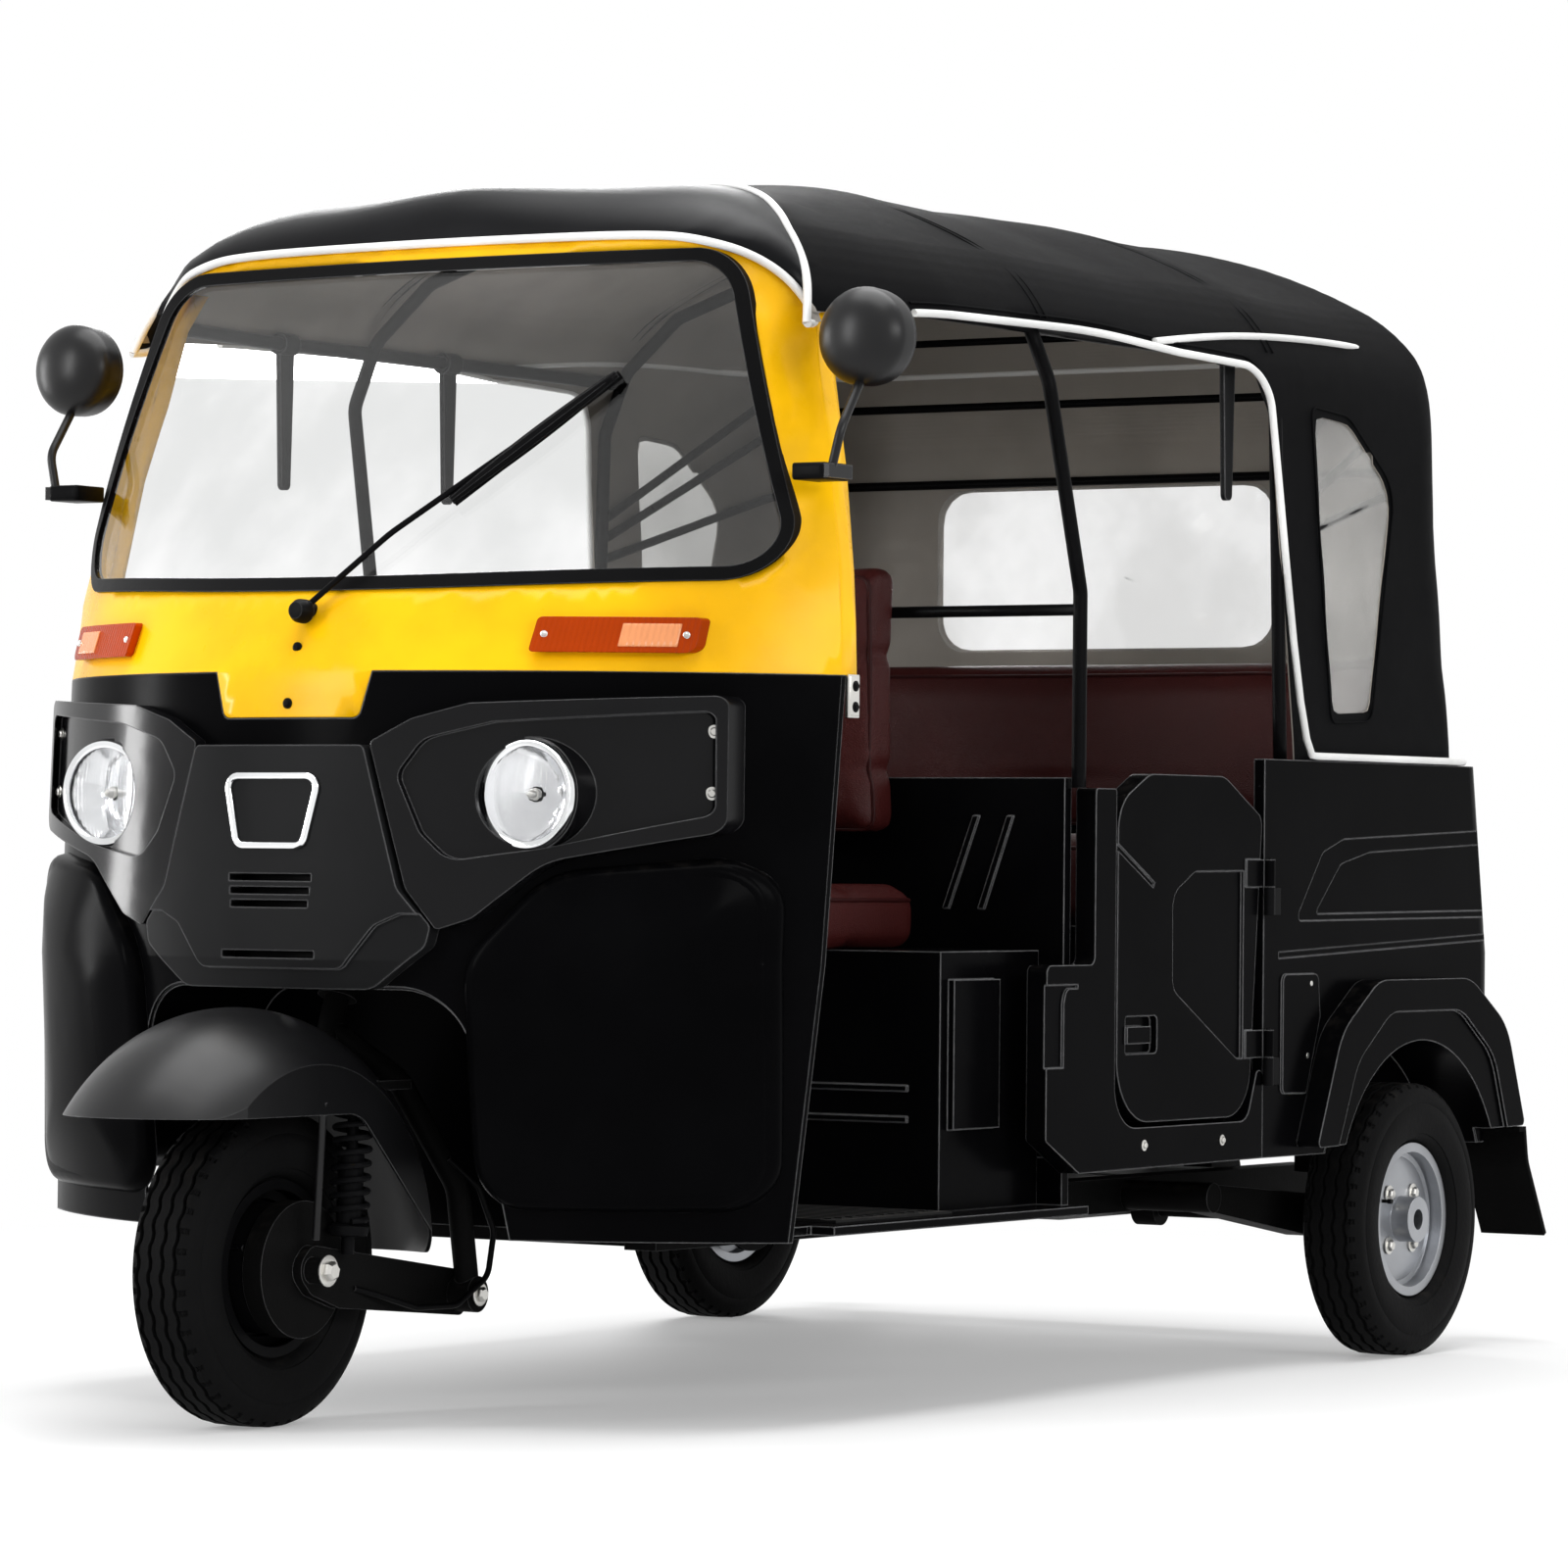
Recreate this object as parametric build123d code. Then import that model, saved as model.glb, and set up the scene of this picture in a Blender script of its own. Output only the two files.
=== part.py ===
"""Auto rickshaw: three wheels, steered front fork, folding-type fabric hood.

Frame while modelling: X forward from the front axle, Y to the vehicle's left, Z up from the ground.
Every piece is moved along X when it is written, so that the origin is under the middle of the length.
All sizes are in millimetres.
"""
import math
import os

from build123d import *

os.makedirs("parts", exist_ok=True)

# ---------------------------------------------------------------- overall sizes
WHEELBASE = 2000.0
FRONT_REACH = 311.0          # front axle to the tip of the front mudguard
REAR_REACH = 415.0           # rear axle to the lip of the mudflaps
HALF_TRACK = 603.0           # middle of the vehicle to the middle of a rear tyre
BODY_HALF = 622.0            # outer face of the side walls
ROOF_TOP = 1700.0            # crown of the hood
BELT = 885.0                 # top of the rear body, where the hood starts
WALL = 18.0                  # double-skinned body wall
SKIN = 4.0                   # single pressed or moulded skin
FIT = 0.3                    # gap round seated trim and soft parts
RUN = 5.0                    # gap beside anything that moves
POST = 34.0                  # width of the cab's front posts
PRESS = 5.0                  # depth of a pressed panel

# ---------------------------------------------------------------- wheels
TYRE_R = 204.0
TYRE_WIDTH = 102.0
BEAD_R = 106.0
RIM_R = 114.5
RIM_WIDTH = 70.0
HUB_R = 34.0
FRONT_AXLE_R = 8.5
REAR_AXLE_R = 15.0
HUB_PLAY = 0.3
AXLE_Z = TYRE_R

# ---------------------------------------------------------------- steering
RAKE = 22.0                  # degrees back from vertical
TRAIL = 50.0                 # steering axis meets the ground this far ahead of the axle
STEM_R = 16.0
HEAD_TUBE_R = 26.0
GUARD_CENTRE = (47.6, 222.9)
GUARD_R = 315.7
GUARD_HALF = 138.0
LINK_PIVOT = (-318.0, 158.0)
LINK_Y = 88.0

# ---------------------------------------------------------------- cab
FLOOR_Z = 250.0              # underside of the driver's floor
FLOOR_THICK = 12.0
FLOOR_FRONT = -384.0
PARTITION_X = -1062.0        # rear face of the partition
PARTITION_TOP = 850.0
REAR_FLOOR_Z = 315.0
SEAT_FRONT = -1600.0
BODY_REAR = -WHEELBASE - 318.0
BODY_BOTTOM = 310.0
PANEL_IN = BODY_HALF - 32.0  # inner face of the side panels
YELLOW_Z = 972.0             # joint between the lower cowl and the windscreen surround
TAB_HALF = 108.0             # tab at the middle of the surround's lower edge
TAB_BOTTOM = 912.0
SCREEN_TOP = 1560.0

# Plan outlines of the bowed front: height, X at the middle, X at the side edge, half width
FRONT_LEVELS = (
    (243.0, -95.0, -335.0, 600.0),
    (600.0, -45.0, -368.0, 625.0),
    (970.0, -60.0, -400.0, 632.0),
    (1560.0, -386.0, -440.0, 590.0),
)

# ---------------------------------------------------------------- doors
DOOR_FRONT = -1137.0
DOOR_BACK = -1553.0
DOOR_BOTTOM = 372.0
DOOR_TOP = 858.0
DOOR_THICK = 30.0
HINGE_X = -1560.0
HINGE_Y = BODY_HALF + 9.0
HINGE_HEIGHTS = (455.0, 700.0)

# ---------------------------------------------------------------- rear lid
LID_HALF = 400.0
LID_BOTTOM = 440.0
LID_TOP = 800.0

ORIGIN_SHIFT = (WHEELBASE + REAR_REACH - FRONT_REACH) / 2
REAR_AXLE_X = -WHEELBASE


# ================================================================ helpers
def corner_cut(before, here, after, radius):
    """Tangent arc that rounds one corner: its start, middle and end."""
    to_before = (before - here).normalized()
    to_after = (after - here).normalized()
    half = math.radians(to_before.get_angle(to_after)) / 2
    reach = radius / math.tan(half)
    centre = here + (to_before + to_after).normalized() * (radius / math.sin(half))
    return here + to_before * reach, centre + (here - centre).normalized() * radius, here + to_after * reach


def outline(corners):
    """Flat face from corners given as (u, v, rounding radius)."""
    points = [Vector(u, v) for u, v, _ in corners]
    cuts = []
    for i, (_, _, radius) in enumerate(corners):
        here = points[i]
        if radius:
            cuts.append(corner_cut(points[i - 1], here, points[(i + 1) % len(points)], radius))
        else:
            cuts.append((here, here, here))
    edges = []
    for i, (start, middle, end) in enumerate(cuts):
        if corners[i][2]:
            edges.append(ThreePointArc(start, middle, end))
        following = cuts[(i + 1) % len(cuts)][0]
        if (following - end).length > 1e-6:
            edges.append(Line(end, following))
    return make_face(edges)


def along_y(face, y0, y1):
    """Extrude an (X, Z) face from y0 to y1."""
    return extrude(Plane(origin=(0, y0, 0), x_dir=(1, 0, 0), z_dir=(0, -1, 0)) * face, -(y1 - y0))


def along_x(face, x0, x1):
    """Extrude a (Y, Z) face from x0 to x1."""
    return extrude(Plane(origin=(x0, 0, 0), x_dir=(0, 1, 0), z_dir=(1, 0, 0)) * face, x1 - x0)


def along_z(face, z0, z1):
    """Extrude an (X, Y) face from z0 to z1."""
    return extrude(Pos(0, 0, z0) * face, z1 - z0)


def block(x0, x1, y0, y1, z0, z1):
    """Box between two corners."""
    return Pos((x0 + x1) / 2, (y0 + y1) / 2, (z0 + z1) / 2) * Box(abs(x1 - x0), abs(y1 - y0), abs(z1 - z0))


def rod(start, end, radius):
    """Round bar between two points."""
    a, b = Vector(start), Vector(end)
    return extrude(Plane(origin=a, z_dir=b - a) * Circle(radius), (b - a).length)


def tube(points, radius, bend):
    """Bent round tube along points, each corner with the given bend radius."""
    path = FilletPolyline(*points, radius=bend)
    start = path.position_at(0)
    return sweep(Plane(origin=start, z_dir=path.tangent_at(0)) * Circle(radius), path=path)


def spun(profile, x, z):
    """Revolve a (Y, radius) face about the line along Y through (x, z)."""
    placed = Plane(origin=(x, 0, z), x_dir=(0, 1, 0), z_dir=(1, 0, 0)) * profile
    return revolve(placed, Axis((x, 0, z), (0, 1, 0)), 360)


def spun_x(profile, centre):
    """Revolve a (radius, depth) face about the line along X through a centre."""
    placed = Plane(origin=centre, x_dir=(0, 1, 0), z_dir=(0, 0, -1)) * profile
    return revolve(placed, Axis(centre, (1, 0, 0)), 360)


def mirrored(solid):
    """Same piece on the right-hand side."""
    return mirror(solid, Plane.XZ)


def both(*solids):
    """Pieces with their mirror images."""
    return list(solids) + [mirrored(s) for s in solids]


def save(name, *pieces):
    """Write a node's solids, moved so that the origin is under the middle of the length."""
    solids = [s for piece in pieces for s in piece.solids()]
    moved = [Pos(ORIGIN_SHIFT, 0, 0) * s for s in solids]
    export_step(moved[0] if len(moved) == 1 else Compound(children=moved), f"parts/{name}.step")


def steer_x(z):
    """X of the steering axis at a height."""
    return TRAIL - z * math.tan(math.radians(RAKE))


# ================================================================ front body
def front_body(z0, z1, inset=0.0, side=None, depth=60.0):
    """Solid behind the bowed front between two heights, its skin moved in by inset."""
    side = inset if side is None else side
    faces = []
    for z, nose, edge, half in FRONT_LEVELS:
        nose, edge, half = nose - inset, edge - inset, half - side
        bow = ThreePointArc((edge, -half), (nose, 0), (edge, half))
        rest = Polyline((edge, half), (edge - depth, half), (edge - depth, -half), (edge, -half))
        faces.append(Pos(0, 0, z) * make_face([bow, *rest.edges()]))
    return loft(faces, ruled=True) & block(-900, 200, -900, 900, z0, z1)


def front_x(y, z):
    """X of the bowed front's surface at a half width and a height."""
    low, high = next((a, b) for a, b in zip(FRONT_LEVELS, FRONT_LEVELS[1:]) if z <= b[0])
    share = (z - low[0]) / (high[0] - low[0])
    nose, edge, half = (a + share * (b - a) for a, b in zip(low[1:], high[1:]))
    sag = nose - edge
    bow_radius = (half ** 2 + sag ** 2) / (2 * sag)
    return nose - (bow_radius - math.sqrt(bow_radius ** 2 - y ** 2))


def screen_outline(inset=0.0):
    """Windscreen opening in (Y, Z), moved in by inset."""
    corners = [
        (0, 1074 + inset, 8000),
        (600 - 1.05 * inset, 1094 + inset, 70 - inset),
        (468 - 0.95 * inset, 1532 - inset, 90 - inset),
        (-(468 - 0.95 * inset), 1532 - inset, 90 - inset),
        (-(600 - 1.05 * inset), 1094 + inset, 70 - inset),
    ]
    return outline(corners)


def tab_notch():
    """Notch in the cowl round the tab, in (Y, Z)."""
    return outline([(TAB_HALF + 18, YELLOW_Z + 1, 0), (TAB_HALF + 1, TAB_BOTTOM - 1, 12),
                    (-TAB_HALF - 1, TAB_BOTTOM - 1, 12), (-TAB_HALF - 18, YELLOW_Z + 1, 0)])


def surround_outline():
    """Front view of the windscreen surround, with the tab at its lower edge."""
    return outline([(-650, YELLOW_Z, 0), (-TAB_HALF - 17, YELLOW_Z, 0), (-TAB_HALF, TAB_BOTTOM, 12),
                    (TAB_HALF, TAB_BOTTOM, 12), (TAB_HALF + 17, YELLOW_Z, 0), (650, YELLOW_Z, 0),
                    (650, 1400, 0), (606, SCREEN_TOP - 2, 185), (-606, SCREEN_TOP - 2, 185), (-650, 1400, 0)])


surround = front_body(TAB_BOTTOM, SCREEN_TOP, depth=36)
surround = surround - front_body(TAB_BOTTOM - 10, SCREEN_TOP + 10, SKIN, POST, depth=60)
surround = surround & along_x(surround_outline(), -700, 100) - along_x(screen_outline(), -700, 100)
save("windscreen_surround", surround)

gasket = front_body(1060, 1545, -3) - front_body(1060, 1545, 7)
gasket = gasket & (along_x(screen_outline(FIT), -460, 100) - along_x(screen_outline(18), -470, 110))
save("windscreen_gasket", gasket)

glass = front_body(1060, 1545, 0) - front_body(1060, 1545, 5)
save("windscreen_glass", glass & along_x(screen_outline(18 + FIT), -460, 100))

# lower cowl: leg shields with the wheel opening between them
ARCH_TOP = 566.0
arch_opening = outline([(-302, 200, 0), (302, 200, 0), (252, ARCH_TOP, 90), (-252, ARCH_TOP, 90)])
cowl = front_body(243, YELLOW_Z, depth=10) - front_body(243, YELLOW_Z, SKIN, 14, depth=60)
cowl = cowl - along_x(arch_opening, -300, 100)
cowl = cowl - along_x(tab_notch(), -300, 100)
# each leg shield swells forward, with a well rounded edge
SWELL_PROUD = 18.0
swell_outline = outline([(262, 286, 60), (262, 600, 100), (360, 712, 100), (590, 738, 60), (590, 286, 60)])
swell = front_body(250, 790, -SWELL_PROUD) - front_body(240, 800, SKIN / 2)
swell = swell & along_x(swell_outline, -450, 100)
swell_edges = [edge for edge in swell.edges()
               if edge.length > 3 and (edge @ 0.5).X > front_x((edge @ 0.5).Y, (edge @ 0.5).Z) + SWELL_PROUD / 2]
swell = fillet(swell_edges, SWELL_PROUD - 3)
swell_hollow = front_body(290, 740, -SWELL_PROUD + SKIN)
swell_hollow = swell_hollow & along_x(outline([(281, 305, 42), (281, 594, 82), (368, 694, 82), (572, 718, 42),
                                               (572, 305, 42)]), -450, 100)
cowl = cowl + swell + mirrored(swell) - swell_hollow - mirrored(swell_hollow)
save("front_cowl", cowl)

# inner wheel arch behind the opening, under the driver's feet
arch_inner = outline([(-302 + SKIN, 240, 0), (302 - SKIN, 240, 0), (252 - SKIN, ARCH_TOP - SKIN, 86),
                      (-252 + SKIN, ARCH_TOP - SKIN, 86)])
arch_side = outline([(-60, 243, 0), (-60, 620, 0), (-330, 620, 0), (FLOOR_FRONT + 4, 243, 0)])
arch_hollow = outline([(-40, 240, 0), (-40, 640, 0), (-325, 640, 0), (FLOOR_FRONT + 8, 240, 0)])
arch = along_y(arch_side, -310, 310) & along_x(arch_opening, -400, 0)
arch_cut = along_y(arch_hollow, -320, 320) & along_x(arch_inner, -420, 10)
arch = (arch - arch_cut) & front_body(243, 640, SKIN, 14, depth=60)
HEAD_BOTTOM_Z = 548.0
HEAD_TOP_Z = 900.0
arch = arch - rod((steer_x(400), 0, 400), (steer_x(700), 0, 700), HEAD_TUBE_R + FIT)
save("front_wheel_arch", arch)

# ================================================================ nose, lamps, mirrors, wiper
NOSE_PROUD = 28.0
nose_half = [(135, 876, 10), (188, 692, 30), (230, 645, 12), (224, 618, 20), (150, 562, 40)]
nose_corners = nose_half + [(-y, z, radius) for y, z, radius in reversed(nose_half)]
nose = front_body(550, 890, -NOSE_PROUD) - front_body(550, 890, -FIT)
nose = nose & along_x(outline(nose_corners), -200, 100)
# the lower half of the nose is set back behind a stepped line under the louvres
skirt_half = [(192, 660, 10), (158, 645, 25), (112, 588, 20)]
skirt_outline = skirt_half + [(-y, z, radius) for y, z, radius in reversed(skirt_half)]
skirt_outline = skirt_outline + [(-260, 660, 0), (-260, 550, 0), (260, 550, 0), (260, 660, 0)]
skirt = front_body(545, 700, -NOSE_PROUD - 10) - front_body(545, 700, -NOSE_PROUD + 7)
nose = nose - (skirt & along_x(outline(skirt_outline), -300, 100))
for z, slot_half in ((705, 66), (688, 64), (671, 62), (606, 74)):
    nose = nose - block(-200, 100, -slot_half, slot_half, z - 4.5, z + 4.5)
save("nose_panel", nose)

LAMP = (-100.0, 343.0, 814.0)
LAMP_R = 66.0
LAMP_DOME = 14.0             # rise of the lamp glass
BEZEL_PROUD = 22.0
bezel_corners = [(140, 880, 8), (196, 910, 25), (270, 930, 25), (552, 942, 14), (555, 768, 24), (368, 728, 90),
                 (282, 655, 30), (238, 640, 8), (196, 692, 24)]
bezel = front_body(630, 950, -BEZEL_PROUD) - front_body(630, 950, -FIT)
bezel = bezel & along_x(outline(bezel_corners), -400, 100)
recess_corners = [(178, 838, 20), (212, 884, 40), (300, 906, 30), (540, 922, 12), (543, 790, 16), (368, 746, 90),
                  (250, 728, 40), (212, 764, 30)]
recess = front_body(700, 940, -BEZEL_PROUD - 20) - front_body(700, 940, -BEZEL_PROUD + 9)
bezel = bezel - (recess & along_x(outline(recess_corners), -400, 100))
collar = rod((LAMP[0] - 100, LAMP[1], LAMP[2]), (LAMP[0] - LAMP_DOME - 4, LAMP[1], LAMP[2]), LAMP_R + 7)
bezel = bezel + (collar - front_body(700, 950, -FIT))
lamp_axis_start = (LAMP[0] - 70, LAMP[1], LAMP[2])
lamp_hole = rod(lamp_axis_start, (LAMP[0] + 60, LAMP[1], LAMP[2]), LAMP_R + FIT)
bezel = bezel - lamp_hole
save("headlamp_bezels", *both(bezel))

dome_radius = (LAMP_R ** 2 + LAMP_DOME ** 2) / (2 * LAMP_DOME)
dome_middle = (0.5 * LAMP_R, math.sqrt(dome_radius ** 2 - 0.25 * LAMP_R ** 2) - dome_radius)
lamp_profile = make_face([Line((0, -60), (LAMP_R, -60)), Line((LAMP_R, -60), (LAMP_R, -LAMP_DOME)),
                          ThreePointArc((LAMP_R, -LAMP_DOME), dome_middle, (0, 0)), Line((0, 0), (0, -60))])
lamp = spun_x(lamp_profile, LAMP) - front_body(700, 950, -FIT)
save("headlamps", *both(lamp))

indicator = front_body(980, 1060, -13) - front_body(980, 1060, -FIT)
indicator = indicator & along_x(outline([(327, 996, 6), (508, 996, 12), (508, 1042, 6), (327, 1042, 6)]), -400, 100)
save("turn_indicators", *both(indicator))

MIRROR = (-430.0, 650.0, 1408.0)
MIRROR_FOOT = (-352.0, 628.0, 1237.0)
MIRROR_R = 62.0
housing = Pos(*MIRROR) * Rot(0, 90, 0) * Cylinder(MIRROR_R, 26)
housing = housing + Pos(MIRROR[0] + 13, MIRROR[1], MIRROR[2]) * Rot(0, 90, 0) * Cone(MIRROR_R, 30, 22,
                                                     align=(Align.CENTER, Align.CENTER, Align.MIN))
stalk = tube([(MIRROR_FOOT[0] - 10, MIRROR_FOOT[1] + 10, MIRROR_FOOT[2]),
              (MIRROR_FOOT[0] - 12, MIRROR_FOOT[1] + 22, MIRROR_FOOT[2] + 50),
              (MIRROR[0], MIRROR[1], MIRROR[2] - 30)], 6, 40)
foot = block(MIRROR_FOOT[0] - 50, MIRROR_FOOT[0] + 6, MIRROR_FOOT[1] - 10, MIRROR_FOOT[1] + 16,
             MIRROR_FOOT[2] - 14, MIRROR_FOOT[2] + 4)
mirror_unit = (housing + stalk + foot) - front_body(1200, 1500, -FIT, depth=70)
save("mirrors", *both(mirror_unit))

WIPER_Z = 1051.0
WIPER_MID = (100.0, 1152.0)   # Y and Z of the arm's knee
WIPER_END = (338.0, 1356.0)
WIPER_BLADE = ((169.0, 1193.0), (344.0, 1362.0))
pivot_x = front_x(0, WIPER_Z)
wiper = rod((pivot_x - 15, 0, WIPER_Z), (pivot_x + 24, 0, WIPER_Z), 11)
wiper = wiper + tube([(pivot_x + 18, 0, WIPER_Z), (front_x(*WIPER_MID) + 24, *WIPER_MID),
                      (front_x(*WIPER_END) + 20, *WIPER_END)], 4, 200)
blade_line = [(front_x(*point) + 12, *point) for point in WIPER_BLADE]
wiper = wiper + rod(*blade_line, 6) + rod((front_x(*WIPER_END) + 22, *WIPER_END), (front_x(*WIPER_END) + 8, *WIPER_END), 5)
save("wiper", wiper - front_body(1000, 1500, -FIT))

# ================================================================ floor, chassis, dash, partition
WELL_HALF = PANEL_IN - FIT   # floor and partition fit between the side panels
floor_top = FLOOR_Z + FLOOR_THICK
floor = front_body(FLOOR_Z, floor_top, SKIN, 14, depth=60) + block(PARTITION_X, -380, -586, 586, FLOOR_Z, floor_top)
floor = floor + block(PARTITION_X, -410, -BODY_HALF, BODY_HALF, FLOOR_Z, floor_top)
floor = floor - (along_y(arch_side, -310, 310) & along_x(arch_opening, -400, 0)) - block(-300, 0, -300, 300, 200, 300)
riser = block(PARTITION_X, PARTITION_X + WALL, -WELL_HALF, WELL_HALF, floor_top, REAR_FLOOR_Z + FLOOR_THICK)
rear_floor = block(SEAT_FRONT, PARTITION_X, -WELL_HALF, WELL_HALF, REAR_FLOOR_Z, REAR_FLOOR_Z + FLOOR_THICK)
save("floor_pan", floor + riser + rear_floor)

RAIL_Y = 330.0
RAIL_W = 50.0
RAIL_END = -2240.0
TOW_EYE_R = 11.0
TOW_EYE_REACH = 22.0         # from the rail's end to the middle of the eye
rail_front = block(-1040, FLOOR_FRONT - 12, RAIL_Y - RAIL_W / 2, RAIL_Y + RAIL_W / 2, FLOOR_Z - 30, FLOOR_Z)
rail_rear = block(RAIL_END, -1040, RAIL_Y - RAIL_W / 2, RAIL_Y + RAIL_W / 2, FLOOR_Z - 30, FLOOR_Z + 20)
rail_rear = rail_rear - block(-1100, -1030, 200, 400, FLOOR_Z, FLOOR_Z + 70)
rails = both(rail_front + rail_rear)
cross_bars = [block(x - 20, x + 20, -RAIL_Y + RAIL_W / 2, RAIL_Y - RAIL_W / 2, FLOOR_Z - 30, FLOOR_Z - 2)
              for x in (-480, -1080, -1600)]
head_tube = rod((steer_x(HEAD_BOTTOM_Z), 0, HEAD_BOTTOM_Z), (steer_x(HEAD_TOP_Z), 0, HEAD_TOP_Z), HEAD_TUBE_R)
head_bore = rod((steer_x(500), 0, 500), (steer_x(950), 0, 950), STEM_R + HUB_PLAY)
spine = tube([(steer_x(700) - 20, 0, 700), (-430, 0, 560), (-440, 0, floor_top - 20)], 22, 120)
head = (head_tube + spine) - head_bore
tow_eye = along_z(outline([(RAIL_END + 30, RAIL_Y - 22, 0), (RAIL_END + 30, RAIL_Y + 22, 0),
                           (RAIL_END - 44, RAIL_Y + 22, 21), (RAIL_END - 44, RAIL_Y - 22, 21)]), FLOOR_Z - 10, FLOOR_Z)
tow_eye = tow_eye - rod((RAIL_END - TOW_EYE_REACH, RAIL_Y, FLOOR_Z - 20), (RAIL_END - TOW_EYE_REACH, RAIL_Y, FLOOR_Z + 10),
                        TOW_EYE_R)
chassis = rails[0] + rails[1] + tow_eye + mirrored(tow_eye)
for bar in cross_bars:
    chassis = chassis + bar
save("chassis_frame", chassis)
save("steering_head", head - block(-600, -300, -60, 60, 200, floor_top + FIT))

dash = block(-290, -60, -560, 560, 905, 925) + block(-290, -272, -560, 560, 840, 905)
dash = dash & front_body(830, 940, SKIN + FIT, POST + FIT, depth=200)
dash = dash - rod((steer_x(800), 0, 800), (steer_x(980), 0, 980), HEAD_TUBE_R + 4)
save("dashboard", dash)

partition = block(PARTITION_X, PARTITION_X + WALL, -WELL_HALF, WELL_HALF, REAR_FLOOR_Z + FLOOR_THICK, PARTITION_TOP)
for top_y, foot_y in ((449, 401), (504, 458)):
    rib = along_x(outline([(top_y - 5, 797, 0), (top_y + 5, 797, 0), (foot_y + 5, 668, 0), (foot_y - 5, 668, 0)]),
                  PARTITION_X + WALL, PARTITION_X + WALL + 4)
    partition = partition + rib + mirrored(rib)
save("partition", partition)

SEAT_BOX_FRONT = -785.0
seat_box = block(PARTITION_X + WALL, SEAT_BOX_FRONT, -550, 550, FLOOR_Z + FLOOR_THICK, 612)
seat_box = seat_box - block(PARTITION_X + WALL, SEAT_BOX_FRONT - SKIN * 3, -538, 538,
                            FLOOR_Z + FLOOR_THICK, 600)
for z in (385, 427):
    rib = block(SEAT_BOX_FRONT, SEAT_BOX_FRONT + 4, 330, 500, z - 4, z + 4)
    seat_box = seat_box + rib + mirrored(rib)
locker = block(-925, -805, 548, 560, 372, 574)
seat_box = seat_box + both(locker)[0] + both(locker)[1]
save("driver_seat_box", seat_box)

cushion = block(-980, -640, -415, 415, 612 + FIT, 695)
save("driver_cushion", cushion)
backrest = along_y(outline([(-1044 + FIT, 760, 10), (-960, 760, 20), (-975, 1155, 35), (-1043, 1155, 30)]), -335, 335)
save("driver_backrest", backrest)

# ================================================================ side panels and doors
panel_corners = [(-945, 354, 6), (-945, 593, 12), (-1075, 593, 12), (-1075, 836, 6), (DOOR_FRONT + RUN, 836, 6),
                 (DOOR_FRONT + RUN, 365, 60), (HINGE_X + 45, 365, 30), (HINGE_X, 480, 10), (HINGE_X, 310, 0),
                 (-1036, 307, 0)]
panel = along_y(outline(panel_corners), PANEL_IN, BODY_HALF)
front_strip = outline([(-940, 453, 0), (-940, 566, 0), (-1029, 566, 0), (-1029, 561, 0), (-998, 561, 14), (-991, 540, 10),
                       (-991, 453, 0)])
panel = panel - along_y(front_strip, BODY_HALF - 4, BODY_HALF + 10)
save("side_panels", *both(panel))

door_corners = [(DOOR_FRONT, 815, 60), (-1225, DOOR_TOP, 60), (-1440, DOOR_TOP, 60), (DOOR_BACK, 800, 20),
                (DOOR_BACK + 36, DOOR_BOTTOM, 70), (DOOR_FRONT, DOOR_BOTTOM, 90)]
door = along_y(outline(door_corners), BODY_HALF - DOOR_THICK, BODY_HALF)
rib_corners = [(-1600, 724, 0), (-1357, 722, 30), (-1292, 690, 35), (-1294, 556, 25), (-1482, 455, 20), (-1600, 455, 0)]
hinge_land = block(DOOR_BACK - 60, DOOR_BACK + 54, 0, 900, 300, 900)
pressing = along_y(outline(rib_corners), BODY_HALF - PRESS, BODY_HALF + 5) - hinge_land
crease = along_y(outline([(-1100, 779, 0), (-1100, 769, 0), (-1236, 699, 0), (-1240, 706, 0)]), BODY_HALF - 3, BODY_HALF + 5)
latch_pocket = along_y(outline([(-1250, 468, 8), (-1250, 520, 8), (-1160, 520, 4), (-1160, 468, 4)]),
                       BODY_HALF - 12, BODY_HALF + 5)
latch = block(-1225, -1159, BODY_HALF - 13, BODY_HALF + 4, 482, 506)
door = door - pressing - crease - latch_pocket + latch
LEAF = 3.0
KNUCKLE_R = 8.0
PIN_R = 3.5
hinges = []
for z in HINGE_HEIGHTS:
    leaf = block(HINGE_X + 2, DOOR_BACK + 50, BODY_HALF, BODY_HALF + LEAF, z, z + 40)
    knuckle = rod((HINGE_X, HINGE_Y, z), (HINGE_X, HINGE_Y, z + 40), KNUCKLE_R)
    bore = rod((HINGE_X, HINGE_Y, z - 5), (HINGE_X, HINGE_Y, z + 45), PIN_R + FIT)
    door = (door + leaf + knuckle) - bore
    fixed_knuckle = rod((HINGE_X, HINGE_Y, z - 40), (HINGE_X, HINGE_Y, z - 1), KNUCKLE_R)
    fixed_leaf = block(HINGE_X - 45, HINGE_X - 2, BODY_HALF + FIT, BODY_HALF + LEAF, z - 40, z - 1)
    pin = rod((HINGE_X, HINGE_Y, z - 10), (HINGE_X, HINGE_Y, z + 42), PIN_R)
    hinges.append(fixed_knuckle + fixed_leaf + pin)
save("door_left", door)
save("door_right", mirrored(door))
save("door_hinges", *both(*hinges))

# ================================================================ rear body
ARCH_R = 268.0
HOUSE_Y = HALF_TRACK - 67.0
wheel_house_cut = rod((REAR_AXLE_X, HOUSE_Y, AXLE_Z), (REAR_AXLE_X, 700, AXLE_Z), ARCH_R + SKIN)
# Rear wall of the body: height and X of its outer face
TAIL_LEVELS = ((BODY_BOTTOM, BODY_REAR), (600.0, BODY_REAR), (BELT, -2272.0))


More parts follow.
